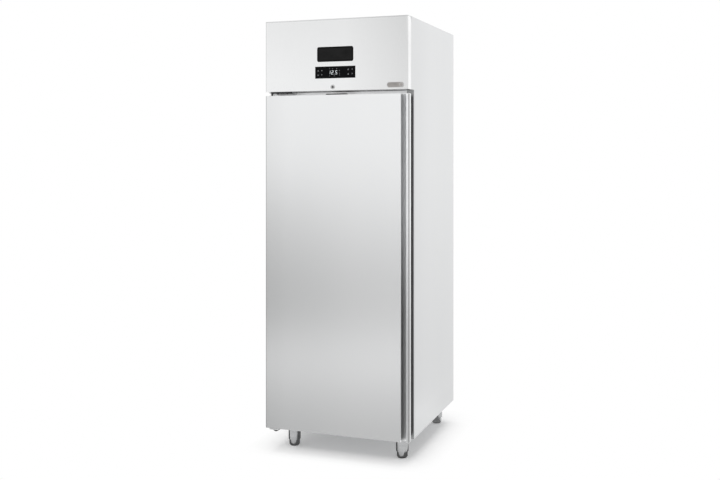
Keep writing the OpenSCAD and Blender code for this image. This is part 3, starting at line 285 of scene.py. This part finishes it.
lock_metal = surface_finish(
    "lock_metal", (0.50, 0.50, 0.50), (0.62, 0.62, 0.62), 1.0, (0.18, 0.3),
    (60, 60, 60), (900, 900, 900), 0.00001)
lock_dark = surface_finish(
    "lock_dark", (0.10, 0.10, 0.10), (0.18, 0.18, 0.18), 1.0, (0.25, 0.35),
    (60, 60, 60), (900, 900, 900), 0.00001)
badge_metal = surface_finish(
    "badge_metal", (0.30, 0.285, 0.275), (0.42, 0.40, 0.385), 0.75, (0.32, 0.46),
    (34, 34, 60), (90, 900, 900), 0.00001)
black_glass = surface_finish(
    "black_glass", (0.004, 0.004, 0.005), (0.008, 0.008, 0.009), 0.0, (0.16, 0.26),
    (40, 40, 40), (14, 14, 14), 0.0, level=0.04)
plate_black = surface_finish(
    "plate_black", (0.004, 0.004, 0.004), (0.009, 0.009, 0.009), 0.0, (0.2, 0.3),
    (40, 40, 40), (700, 700, 700), 0.000005, level=0.08)
plate_field = surface_finish(
    "plate_field", (0.008, 0.008, 0.008), (0.018, 0.018, 0.018), 0.0, (0.32, 0.42),
    (14, 14, 30), (900, 900, 120), 0.000005, level=0.1)
black_plastic = surface_finish(
    "black_plastic", (0.018, 0.018, 0.019), (0.032, 0.032, 0.034), 0.0, (0.42, 0.6),
    (30, 30, 30), (1600, 1600, 1600), 0.00003, level=0.2)
grey_plastic = surface_finish(
    "grey_plastic", (0.115, 0.118, 0.122), (0.15, 0.154, 0.158), 0.0, (0.4, 0.55),
    (8, 8, 8), (1500, 1500, 1500), 0.00003)
box_plastic = surface_finish(
    "box_plastic", (0.62, 0.62, 0.60), (0.70, 0.70, 0.68), 0.0, (0.38, 0.5),
    (10, 10, 10), (1500, 1500, 1500), 0.00002)
rubber = surface_finish(
    "gasket_rubber", (0.022, 0.022, 0.024), (0.045, 0.045, 0.048), 0.0, (0.5, 0.7),
    (25, 25, 25), (900, 900, 900), 0.00002, level=0.35)
shell_paint = surface_finish(
    "shell_paint", (0.010, 0.010, 0.011), (0.020, 0.020, 0.022), 0.0, (0.22, 0.34),
    (20, 20, 20), (420, 420, 420), 0.00005)
foam = surface_finish(
    "wall_foam", (0.70, 0.67, 0.57), (0.82, 0.79, 0.70), 0.0, (0.75, 0.92),
    (18, 18, 18), (420, 420, 420), 0.0004, level=0.2)
lamp_cover = surface_finish(
    "lamp_cover", (0.80, 0.80, 0.77), (0.88, 0.88, 0.86), 0.0, (0.28, 0.4),
    (12, 12, 12), (30, 900, 900), 0.00004)


def spangle():
    """Galvanised sheet: Voronoi cells of about 9 mm, each with its own tone and roughness."""
    material, tree, out = new_material("galvanised_sheet")
    shader = tree.nodes.new("ShaderNodeBsdfPrincipled")
    shader.inputs["Metallic"].default_value = 1.0
    cells = tree.nodes.new("ShaderNodeTexVoronoi")
    cells.inputs["Scale"].default_value = 110
    tree.links.new(object_place(tree), cells.inputs["Vector"])
    grey = tree.nodes.new("ShaderNodeRGBToBW")
    tree.links.new(cells.outputs["Color"], grey.inputs["Color"])
    tone = grey.outputs["Val"]
    colour = two_tone(tree, spread(tree, tone, 0, 1, 0.2, 0.8),
                      (0.52, 0.54, 0.56), (0.66, 0.68, 0.70))
    tree.links.new(colour, shader.inputs["Base Color"])
    tree.links.new(spread(tree, tone, 0.32, 0.52, 0.2, 0.8), shader.inputs["Roughness"])
    fine = noise(tree, (300, 300, 300))
    tree.links.new(bump(tree, fine, 0.00002), shader.inputs["Normal"])
    tree.links.new(shader.outputs["BSDF"], out.inputs["Surface"])
    return material


def painted_bracket():
    """Black paint with a fine grain on the front strip of the hinge bracket, and bare steel
    left of pin_x, on the end of the hinge pin, and behind strip_y."""
    pin_x, strip_y = -0.3385, -0.370
    material, tree, out = new_material("painted_bracket")
    shader = tree.nodes.new("ShaderNodeBsdfPrincipled")
    bare = combine(tree, "MAXIMUM",
                   along(tree, "X", pin_x + 1 * MM, pin_x - 1 * MM, 0, 1),
                   along(tree, "Y", strip_y - 0.5 * MM, strip_y + 0.5 * MM, 0, 1))
    fine = noise(tree, (900, 900, 900))
    mix = tree.nodes.new("ShaderNodeMix")
    mix.data_type = "RGBA"
    mix.inputs["B"].default_value = (0.80, 0.805, 0.81, 1)
    tree.links.new(bare, mix.inputs["Factor"])
    tree.links.new(two_tone(tree, fine, (0.03, 0.03, 0.032), (0.055, 0.055, 0.058)),
                   mix.inputs["A"])
    tree.links.new(mix.outputs["Result"], shader.inputs["Base Color"])
    tree.links.new(spread(tree, bare, 0.1, 1.0, 0, 1), shader.inputs["Metallic"])
    tree.links.new(spread(tree, fine, 0.35, 0.5), shader.inputs["Roughness"])
    tree.links.new(bump(tree, fine, 0.00002), shader.inputs["Normal"])
    tree.links.new(shader.outputs["BSDF"], out.inputs["Surface"])
    return material


def lit_symbol():
    """White light-emitting symbol whose brightness varies a little across it."""
    material, tree, out = new_material("lit_symbol")
    shader = tree.nodes.new("ShaderNodeBsdfPrincipled")
    shader.inputs["Roughness"].default_value = 0.35
    shader.inputs["Emission Strength"].default_value = 1.2
    glow = two_tone(tree, spread(tree, noise(tree, (300, 300, 300)), 0, 1),
                    (0.72, 0.78, 0.80), (0.95, 0.98, 1.0))
    tree.links.new(glow, shader.inputs["Emission Color"])
    tree.links.new(glow, shader.inputs["Base Color"])
    tree.links.new(shader.outputs["BSDF"], out.inputs["Surface"])
    return material


galvanised = spangle()
bracket_paint = painted_bracket()
symbol_white = lit_symbol()
symbol_dim = surface_finish(
    "dim_symbol", (0.26, 0.265, 0.27), (0.36, 0.365, 0.37), 0.0, (0.3, 0.4),
    (300, 300, 300), (900, 900, 900), 0.0)

NODE_FINISH = {
    "side_panel_left": steel_side, "side_panel_right": steel_side,
    "dashboard_panel": steel_header, "door_outer_panel": steel_front,
    "handle_profile": steel_handle, "upper_front_rail": steel_rail,
    "lower_hinge_bracket": steel_flat, "leg_sleeves": steel_turned,
    "foot_front_left": steel_turned, "foot_front_right": steel_turned,
    "foot_rear_left": steel_turned, "foot_rear_right": steel_turned,
    "liner_left": steel_liner, "liner_right": steel_liner, "liner_rear": steel_liner,
    "liner_ceiling": steel_flat, "liner_floor": steel_flat,
    "rack_uprights": steel_liner, "shelf_runners": steel_flat,
    "evaporator_fan_guard": steel_wire, "grid_shelf_1": steel_wire,
    "grid_shelf_2": steel_wire, "grid_shelf_3": steel_wire,
    "rear_panel": galvanised, "top_panel": galvanised, "base_panel": galvanised,
    "machine_deck": galvanised, "rear_grille": galvanised, "drip_tray": galvanised,
    "condensate_tray": galvanised, "condenser_shroud": galvanised,
    "dashboard_hinges": galvanised, "insulation": foam, "door_insulation": foam,
    "front_frame": grey_plastic, "door_inner_panel": grey_plastic,
    "evaporator_fan_motor": black_plastic, "evaporator_fan": black_plastic,
    "condenser_fan_motor": black_plastic, "condenser_fan": black_plastic,
    "cable_gland": black_plastic, "closer_cam": black_plastic,
    "control_box": black_plastic, "hinge_bushes": black_plastic,
    "lock_keeper": black_plastic, "touch_control": black_glass, "name_plate": plate_black,
    "badge": badge_metal, "lock_housing": lock_metal, "lock_cylinder": lock_dark,
    "door_gasket": rubber, "compressor": shell_paint, "evaporator_coil": coil_fins,
    "condenser": coil_fins, "filter_drier": copper, "refrigerant_pipes": copper,
    "upper_hinge_bracket": bracket_paint, "cabin_lamp": lamp_cover,
    "evaporator_box": box_plastic, "electrical_box": box_plastic,
}
for name, finish in NODE_FINISH.items():
    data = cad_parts[name].data
    data.materials.clear()
    data.materials.append(finish)


# Surfaces from arrays.


def piece(name, points, faces, material, body, slot):
    """A piece of the object from points (n, 3) in metres and faces of any size."""
    mesh = bpy.data.meshes.new(name)
    mesh.from_pydata(np.asarray(points, float).tolist(), [], faces)
    mesh.update()
    obj = add_object(name, mesh)
    mesh.materials.append(material)
    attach(obj, body)
    return obj


def together(parts):
    """Joins several (points, faces) into one."""
    points, faces, start = [], [], 0
    for p, f in parts:
        points.append(p)
        faces += [[v + start for v in face] for face in f]
        start += len(p)
    return np.vstack(points), faces


def prism(outline, y0, y1):
    """A plate: an outline (n, 2) of x, z, anticlockwise as seen from -Y, carried from the
    front plane y0 back to the plane y1. Returns points and faces."""
    outline = np.asarray(outline, float)
    n = len(outline)
    front = np.column_stack([outline[:, 0], np.full(n, y0), outline[:, 1]])
    back = np.column_stack([outline[:, 0], np.full(n, y1), outline[:, 1]])
    i = np.arange(n)
    j = (i + 1) % n
    sides = np.column_stack([i, i + n, j + n, j]).tolist()
    return np.vstack([front, back]), [i.tolist(), (i[::-1] + n).tolist(), *sides]


def frame_ring(outer, inner, y0, y1):
    """A flat ring between two outlines of as many points, from the plane y0 back to y1."""
    n = len(outer)
    rings = [np.column_stack([o[:, 0], np.full(n, y), o[:, 1]])
             for o, y in ((outer, y0), (inner, y0), (inner, y1), (outer, y1))]
    i = np.arange(n)
    j = (i + 1) % n
    faces = []
    for k in range(4):
        a, b = k * n, ((k + 1) % 4) * n
        faces += np.column_stack([i + a, i + b, j + b, j + a])[:, ::-1].tolist()
    return np.vstack(rings), faces


def rounded(cx, cz, w, h, r, steps=8):
    """Outline of a rectangle with round corners: four quarter circles of radius r about the
    corners' centres, anticlockwise as seen from the front."""
    a = np.linspace(0, math.pi / 2, steps + 1)
    corners = [(w / 2 - r, h / 2 - r, 0), (r - w / 2, h / 2 - r, 1),
               (r - w / 2, r - h / 2, 2), (w / 2 - r, r - h / 2, 3)]
    arcs = [np.column_stack([cx + x + r * np.cos(a + k * math.pi / 2),
                             cz + z + r * np.sin(a + k * math.pi / 2)]) for x, z, k in corners]
    return np.vstack(arcs)


def disc(x, z, r, n=16):
    """Outline of a circle of radius r about x, z, anticlockwise as seen from the front."""
    a = np.linspace(0, 2 * math.pi, n, endpoint=False)
    return np.column_stack([x + r * np.cos(a), z + r * np.sin(a)])


def front_face(name):
    """Middle x and z, width, height and front plane y of a CAD node's box."""
    lo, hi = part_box(name)
    return (lo[0] + hi[0]) / 2, (lo[2] + hi[2]) / 2, hi[0] - lo[0], hi[2] - lo[2], lo[1]


def channel_bead():
    """Rolled edge of the finger channel: an ellipse of half axes 4.7 and 4.1 mm, carried
    straight up the opening side of the door, with a flat face at both ends."""
    half_x, half_y = 4.7 * MM, 4.1 * MM
    inset, play = 7.9 * MM, 0.1 * MM
    lo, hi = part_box("handle_profile")
    a = np.linspace(0, 2 * math.pi, 32, endpoint=False)
    x = hi[0] - inset + half_x * np.cos(a)
    y = lo[1] + play + half_y * (1 + np.sin(a))
    rings = [np.column_stack([x, y, np.full(len(a), z)]) for z in (lo[2], hi[2])]
    i = np.arange(len(a))
    j = (i + 1) % len(a)
    walls = np.column_stack([i, j, j + len(a), i + len(a)]).tolist()
    return np.vstack(rings), [*walls, i[::-1].tolist(), (i + len(a)).tolist()]


# The bead takes the handle steel, with its painted light and shade.
piece("channel_bead", *channel_bead(), steel_handle, "door", "stainless_sheet")

# Control: seven-segment digits and plain symbols on the glass. Their places and sizes are
# in millimetres about the middle of the glass, and they stand PROUD of it.

PROUD = 0.04 * MM
SEGMENTS = {"1": "bc", "2": "abged", "5": "afgcd"}
DIGITS = (("1", -28.5), ("2", -13.5), ("5", 6))
DIGIT_W, DIGIT_H, STROKE, DIGIT_Z = 7.5, 16, 1.1, -0.8
POINT = (-4.5, DIGIT_Z - 8, 1.0)
ARROW = np.array([[-3.2, -2.4], [3.2, -2.4], [0, 3.2]])
ARROWS = ((-67, 9.5, 1), (-67, -11, -1))
RINGS = ((66, 11, 3.4), (66, -10, 3.4), (-86, 8.5, 3.2), (-86, -11.5, 3.0), (86, 12, 2.6),
         (86, -9, 2.6))
RING_HOLE = 0.55
DOTS = ((-28, 16.5), (-13, 16.5), (8, 16.5), (22, 7), (22, -5), (22, -14), (-28, -17),
        (-4, -17))
DOT_R = 1.6

glass_x, glass_z, _, _, glass_y = front_face("touch_control")


def on_glass(outline):
    """An outline in millimetres, brought to its place on the glass in metres."""
    return np.asarray(outline) * MM + (glass_x, glass_z)


def mark(outline):
    """A thin plate on the glass."""
    return prism(on_glass(outline), glass_y - PROUD, glass_y + PROUD)


def ring_mark(x, z, r):
    """A thin ring on the glass."""
    return frame_ring(on_glass(disc(x, z, r)), on_glass(disc(x, z, r * RING_HOLE)),
                      glass_y - PROUD, glass_y + PROUD)


def digit(text, x, z, w, h, t):
    """Seven-segment digit about x, z, of width w, height h and stroke t: each segment is a bar
    with pointed ends, leaning 5 degrees."""
    bars = {"a": (0, h / 2, 1), "g": (0, 0, 1), "d": (0, -h / 2, 1), "b": (w / 2, h / 4, 0),
            "c": (w / 2, -h / 4, 0), "f": (-w / 2, h / 4, 0), "e": (-w / 2, -h / 4, 0)}
    parts = []
    for key in SEGMENTS[text]:
        cx, cz, flat = bars[key]
        end = (w if flat else h / 2) / 2 - t * 0.12
        bar = np.array([[-end, 0], [-end + t / 2, -t / 2], [end - t / 2, -t / 2], [end, 0],
                        [end - t / 2, t / 2], [-end + t / 2, t / 2]])
        if not flat:
            bar = np.column_stack([-bar[:, 1], bar[:, 0]])
        bar = bar + (cx, cz)
        bar[:, 0] += x + bar[:, 1] * math.tan(math.radians(5))
        bar[:, 1] += z
        parts.append(mark(bar))
    return parts


lit_marks = [part for text, x in DIGITS
             for part in digit(text, x, DIGIT_Z, DIGIT_W, DIGIT_H, STROKE)]
lit_marks.append(mark(disc(*POINT)))
dim_marks = [mark((ARROW * (1, way))[::way] + (x, z)) for x, z, way in ARROWS]
dim_marks += [ring_mark(*ring) for ring in RINGS]
dim_marks += [mark(disc(x, z, DOT_R)) for x, z in DOTS]
piece("display_digits", *together(lit_marks), symbol_white, "dashboard", "lamp_cover")
piece("touch_symbols", *together(dim_marks), symbol_dim, "dashboard", "lamp_cover")

# Black plate with a satin field inside a gloss rim.

RIM, FIELD_R = 8 * MM, 3 * MM
px, pz, pw, ph, plate_y = front_face("name_plate")
piece("plate_field", *prism(rounded(px, pz, pw - 2 * RIM, ph - 2 * RIM, FIELD_R),
                            plate_y - PROUD, plate_y + PROUD),
      plate_field, "dashboard", "black_glass")

# Pill-shaped badge: a raised rim line between two pills, and a ring at its right end. Each
# pill lies inside the badge by an inset, with its ends' radius smaller by the second value.

PILLS = ((0.3 * MM, 0.4 * MM), (2.0 * MM, 2.2 * MM))
CIRCLE_INSETS = (3.4 * MM, 5.2 * MM)
bx, bz, bw, bh, badge_y = front_face("badge")
pills = [rounded(bx, bz, bw - 2 * inset, bh - 2 * inset, bh / 2 - less) for inset, less in PILLS]
circles = [disc(bx + (bw - bh) / 2, bz, bh / 2 - inset, 32) for inset in CIRCLE_INSETS]
for name, outlines in (("badge_rim", pills), ("badge_ring", circles)):
    piece(name, *frame_ring(*outlines, badge_y - PROUD, badge_y + PROUD), lock_metal,
          "dashboard", "badge_grey")

# Screw heads.


def screw_head(centre, axis, radius, height):
    """A pan head: height times 1 - 0.75 (r / radius)^2, less a cross of four arms 23 degrees
    wide that reach out to 0.6 of the radius. Polar grid about the axis, with a closed base."""
    steps = 32
    a = np.arange(steps) * 2 * math.pi / steps
    rings = radius * np.array([0.15, 0.3, 0.45, 0.58, 0.62, 0.85, 1.0, 1.0])
    r, angle = np.meshgrid(rings, a, indexing="ij")
    arm = np.abs((angle + math.pi / 4) % (math.pi / 2) - math.pi / 4) < 0.2
    cut = (r < 0.6 * radius) & (arm | (r < 0.2 * radius))
    z = height * (1 - 0.75 * (r / radius) ** 2) - 0.55 * height * cut
    z[-1] = -0.1 * MM
    local = np.stack([r * np.cos(angle), r * np.sin(angle), z], -1).reshape(-1, 3)
    local = np.vstack([local, [0, 0, 0.45 * height]])
    w = np.asarray(axis, float)
    u = np.cross(w, (0, 0, 1) if abs(w[2]) < 0.9 else (1, 0, 0))
    u /= np.linalg.norm(u)
    points = local @ np.stack([u, np.cross(w, u), w]) + np.asarray(centre, float)
    i, k = np.meshgrid(np.arange(steps), np.arange(len(rings) - 1), indexing="ij")
    j = (i + 1) % steps
    quads = np.stack([k * steps + i, (k + 1) * steps + i, (k + 1) * steps + j, k * steps + j], -1)
    i = np.arange(steps)
    middle = np.column_stack([np.full(steps, len(local) - 1), i, (i + 1) % steps])
    base = (len(rings) * steps - 1 - i).tolist()
    return points, quads.reshape(-1, 4).tolist() + middle.tolist() + [base]


def screws(name, centres, axes, height, radius=4.0, slot="stainless_sheet", finish=steel_wire):
    """Screw heads of the cabinet, in millimetres, with an axis for each or for all."""
    centres = np.asarray(centres, float) * MM
    axes = np.broadcast_to(np.asarray(axes, float), centres.shape)
    heads = [screw_head(c, axis, radius * MM, height * MM) for c, axis in zip(centres, axes)]
    piece(name, *together(heads), finish, "cabinet", slot)


def limits(name):
    """Corners of a CAD node's box in millimetres."""
    lo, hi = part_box(name)
    return np.array(lo) / MM, np.array(hi) / MM


# Rear grille and rear panel: rows and columns of screws, set in from the edges.

GRILLE_MIDDLE_X, GRILLE_MIDDLE_Z = 0, 1905
GRILLE_IN_X, GRILLE_IN_Z = 14, 25
PANEL_IN_X, PANEL_IN_Z, PANEL_ROWS = 8, 30, 6
grille_lo, grille_hi = limits("rear_grille")
grille_rows = (grille_lo[2] + GRILLE_IN_Z, GRILLE_MIDDLE_Z, grille_hi[2] - GRILLE_IN_Z)
grille_columns = (grille_lo[0] + GRILLE_IN_X, GRILLE_MIDDLE_X, grille_hi[0] - GRILLE_IN_X)
screws("rear_grille_screws", [(x, grille_hi[1], z) for z in grille_rows for x in grille_columns],
       (0, 1, 0), 1.1)
rear_lo, rear_hi = limits("rear_panel")
rear_rows = np.linspace(rear_lo[2] + PANEL_IN_Z, rear_hi[2] - PANEL_IN_Z, PANEL_ROWS)
rear_columns = (rear_lo[0] + PANEL_IN_X, rear_hi[0] - PANEL_IN_X)
screws("rear_panel_screws", [(x, grille_hi[1], z) for z in rear_rows for x in rear_columns],
       (0, 1, 0), 1.1)

# Rack uprights: screws at some of the slots, on the side that faces the shelves.

RACK_PITCH, RACK_SLOTS = 60, (1, 8, 15, 22)
RACK_IN_X, RACK_IN_Y = 12, 90
rack_lo, rack_hi = limits("rack_uprights")
liner_lo, liner_hi = limits("liner_left")
rack_heads = [(side * (rack_hi[0] - RACK_IN_X), y, rack_lo[2] + RACK_PITCH * slot)
              for side in (-1, 1) for slot in RACK_SLOTS
              for y in (liner_lo[1] + RACK_IN_Y, liner_hi[1] - RACK_IN_Y)]
screws("rack_screws", rack_heads, [(-math.copysign(1, head[0]), 0, 0) for head in rack_heads],
       1.4, 4.2, "stainless_liner")

# Fan guard: a screw at the end of each of its four legs, under the ceiling.

LEG_IN, LEG_THICKNESS = 7, 2
guard_lo, guard_hi = limits("evaporator_fan_guard")
guard_x, guard_y = (guard_lo[:2] + guard_hi[:2]) / 2
guard_r = (guard_hi[0] - guard_lo[0]) / math.sqrt(2) - LEG_IN
turns = np.radians([45, 135, 225, 315])
screws("fan_guard_screws", np.column_stack([
    guard_x + guard_r * np.cos(turns), guard_y + guard_r * np.sin(turns),
    np.full(len(turns), guard_hi[2] - LEG_THICKNESS)]), (0, 0, -1), 1.6, slot="stainless_liner")

# Electrical box: four screws in its lid.

LID_IN_X, LID_FRONT, LID_REAR = 13, 110, 12
box_lo, box_hi = limits("electrical_box")
screws("electrical_box_screws", [(x, box_hi[1] - y, box_hi[2])
                                 for x in (box_lo[0] + LID_IN_X, box_hi[0] - LID_IN_X)
                                 for y in (LID_FRONT, LID_REAR)],
       (0, 0, 1), 1.4, slot="galvanised_sheet", finish=galvanised)

# Stage: the world, the floor, the lamps and the cards.

BACKGROUND_RAYS = ("Is Camera Ray", "Is Glossy Ray", "Is Transmission Ray")
AMBIENT, WHITE = 0.55, 1.0


def background_rays(tree):
    """1 for the rays that show the background: those of the camera, of gloss and of glass."""
    path = tree.nodes.new("ShaderNodeLightPath")
    camera_ray, gloss, glass = (path.outputs[ray] for ray in BACKGROUND_RAYS)
    return combine(tree, "MAXIMUM", combine(tree, "MAXIMUM", camera_ray, gloss), glass)


def shader_mix(tree, value, first, second):
    """The first shader where the value is 0 and the second where it is 1."""
    node = tree.nodes.new("ShaderNodeMixShader")
    tree.links.new(value, node.inputs["Fac"])
    tree.links.new(first, node.inputs[1])
    tree.links.new(second, node.inputs[2])
    return node.outputs[0]


def emission(tree, strength):
    """White light of the given strength."""
    node = tree.nodes.new("ShaderNodeEmission")
    node.inputs["Strength"].default_value = strength
    return node.outputs["Emission"]


def white_world():
    """White behind the object, and a weaker white light for everything else."""
    world = bpy.data.worlds.new("studio")
    world.use_nodes = True
    tree = world.node_tree
    tree.nodes.clear()
    out = tree.nodes.new("ShaderNodeOutputWorld")
    shaders = []
    for strength in (AMBIENT, WHITE):
        node = tree.nodes.new("ShaderNodeBackground")
        node.inputs["Color"].default_value = (1, 1, 1, 1)
        node.inputs["Strength"].default_value = strength
        shaders.append(node.outputs[0])
    tree.links.new(shader_mix(tree, background_rays(tree), *shaders), out.inputs["Surface"])
    return world


def white_floor():
    """Matt white floor. The rays that show the background see it lit a little from within, so
    that it keeps the shadow near the object, and see it plain white further out: each side
    of that field is (axis, inner, outer). Other rays meet a slightly darker white."""
    field = (("X", -0.33, -0.50), ("X", 0.31, 0.47), ("Y", -0.25, -0.45), ("Y", 0.38, 0.62))
    darker, paper, lift = 0.80, 0.98, 0.22
    material, tree, out = new_material("white_floor")
    matte = tree.nodes.new("ShaderNodeBsdfDiffuse")
    tree.links.new(spread(tree, background_rays(tree), darker, paper, 0, 1),
                   matte.inputs["Color"])
    lit = tree.nodes.new("ShaderNodeAddShader")
    tree.links.new(matte.outputs[0], lit.inputs[0])
    tree.links.new(emission(tree, lift), lit.inputs[1])
    near, *others = (along(tree, *side, 1, 0) for side in field)
    for side in others:
        near = combine(tree, "MULTIPLY", near, side)
    seen = shader_mix(tree, spread(tree, near, 1, 0, 0, 1), lit.outputs[0],
                      emission(tree, WHITE))
    tree.links.new(shader_mix(tree, background_rays(tree), matte.outputs[0], seen),
                   out.inputs["Surface"])
    return material


def level(x0, y0, x1, y1, z):
    """Corners of a level rectangle."""
    return [(x0, y0, z), (x1, y0, z), (x1, y1, z), (x0, y1, z)]


def upright(x, y0, y1, height):
    """Corners of a wall across the x axis that stands on the floor."""
    return [(x, y0, 0), (x, y1, 0), (x, y1, height), (x, y0, height)]


def stage_plane(name, corners, material):
    """A plane of the stage."""
    mesh = bpy.data.meshes.new(name)
    mesh.from_pydata(corners, [], [(0, 1, 2, 3)])
    mesh.materials.append(material)
    obj = add_object(name, mesh)
    return obj


bpy.context.scene.world = white_world()
stage_plane("floor", level(-30, -30, 30, 30, 0), white_floor())


def soft_lamp(name, place, target, size, power):
    """A square soft box at a place, turned towards a target. Gloss doesn't show it."""
    data = bpy.data.lights.new(name, "AREA")
    data.size = size
    data.energy = power
    lamp = add_object(name, data)
    lamp.location = place
    way = np.subtract(target, place)
    lamp.rotation_euler = (math.atan2(math.hypot(way[0], way[1]), -way[2]), 0,
                           math.atan2(way[1], way[0]) - math.pi / 2)
    lamp.visible_glossy = False


soft_lamp("overhead_box", (0.2, 0.0, 5.0), (0, 0, 0), 4.0, 90)
soft_lamp("front_box", (-2.5, -4.5, 3.2), (0, 0, 1.1), 3.0, 25)


def card(name, corners, light):
    """A glowing card that only gloss rays meet. light(tree) gives its strength."""
    material, tree, out = new_material(name)
    glow = tree.nodes.new("ShaderNodeEmission")
    tree.links.new(light(tree), glow.inputs["Strength"])
    tree.links.new(glow.outputs["Emission"], out.inputs["Surface"])
    obj = stage_plane(name, corners, material)
    obj.visible_camera = obj.visible_diffuse = obj.visible_transmission = False
    obj.visible_shadow = obj.visible_volume_scatter = False


def door_bands(tree):
    """Light of the floor in front, laid out as the door shows it from the camera's place, which
    the door mirrors. Seen from there, a place on the floor has a depth and a distance to the
    right. One over the depth gives the height in the picture, 1 at the door's lower edge, where
    steps of light chosen against the photograph follow each other. Distance over depth gives the
    place across, with a fall of light towards the door's left edge, and a further one between the
    heights of rise and drop. It isn't plain studio light."""
    steps = ((0.0, 0.97), (0.135, 0.93), (0.235, 0.84), (0.335, 0.75), (0.418, 0.655),
             (0.50, 0.635), (0.562, 0.65), (0.618, 0.75), (0.675, 0.82), (0.742, 0.805),
             (0.808, 0.71), (0.868, 0.65), (0.935, 0.60), (1.0, 0.57))
    near, far, lower_edge = 0.01, 50, 4.514
    left_edge, inner_fall, outer_fall = -0.112, -0.0173, 0.0027
    rise, drop = (0.02, 0.17), (0.535, 0.652)
    x, y = CAMERA_PLACE[0], 2 * FRONT - CAMERA_PLACE[1]
    cos, sin = math.cos(CAMERA_TURN), math.sin(CAMERA_TURN)
    turn = tree.nodes.new("ShaderNodeMapping")
    turn.inputs["Rotation"].default_value = (0, 0, CAMERA_TURN)
    turn.inputs["Location"].default_value = (y * sin - x * cos, -x * sin - y * cos, 0)
    tree.links.new(object_place(tree), turn.inputs["Vector"])
    split = tree.nodes.new("ShaderNodeSeparateXYZ")
    tree.links.new(turn.outputs["Vector"], split.inputs["Vector"])
    depth = spread(tree, split.outputs["Y"], far, near, -far, -near)
    height = combine(tree, "DIVIDE", lower_edge, depth)
    across = combine(tree, "DIVIDE", split.outputs["X"], depth)
    ramp = tree.nodes.new("ShaderNodeValToRGB")
    for _ in steps[2:]:
        ramp.color_ramp.elements.new(0.5)
    for element, (where, light) in zip(ramp.color_ramp.elements, steps):
        element.position = where
        element.color = (light, light, light, 1)
    tree.links.new(height, ramp.inputs["Fac"])
    middle = combine(tree, "MULTIPLY", spread(tree, height, 0, 1, *rise),
                     spread(tree, height, 1, 0, *drop))
    left = combine(tree, "MULTIPLY", middle,
                   spread(tree, across, 1, 0, left_edge, inner_fall))
    fall = combine(tree, "MULTIPLY", spread(tree, across, 0.88, 1.0, left_edge, outer_fall),
                   spread(tree, left, 1, 0.86, 0, 1))
    return combine(tree, "MULTIPLY", ramp.outputs["Color"], fall)


FLOOR_CARD_Z, UNDER_CARD_Z, WALL = 10 * MM, 2 * MM, 4
card("front_floor_card", level(-20, -30, 6, -0.6, FLOOR_CARD_Z), door_bands)
card("side_floor_card", level(0.5, 0.6, 12, 30, FLOOR_CARD_Z),
     lambda tree: along(tree, "Y", 1.0, 9.0, 0.90, 0.985))
card("right_wall_card", upright(6, -5, 1, WALL),
     lambda tree: along(tree, "Z", 0, WALL, 1.5, 1.3))
card("left_wall_card", upright(-5, 8, -4.5, WALL),
     lambda tree: along(tree, "Z", 0, WALL, 0.95, 1.0))
card("under_card", level(-0.75, -0.30, 0.40, 0.36, UNDER_CARD_Z),
     lambda tree: along(tree, "Y", -0.27, 0.36, 0.14, 0.30))
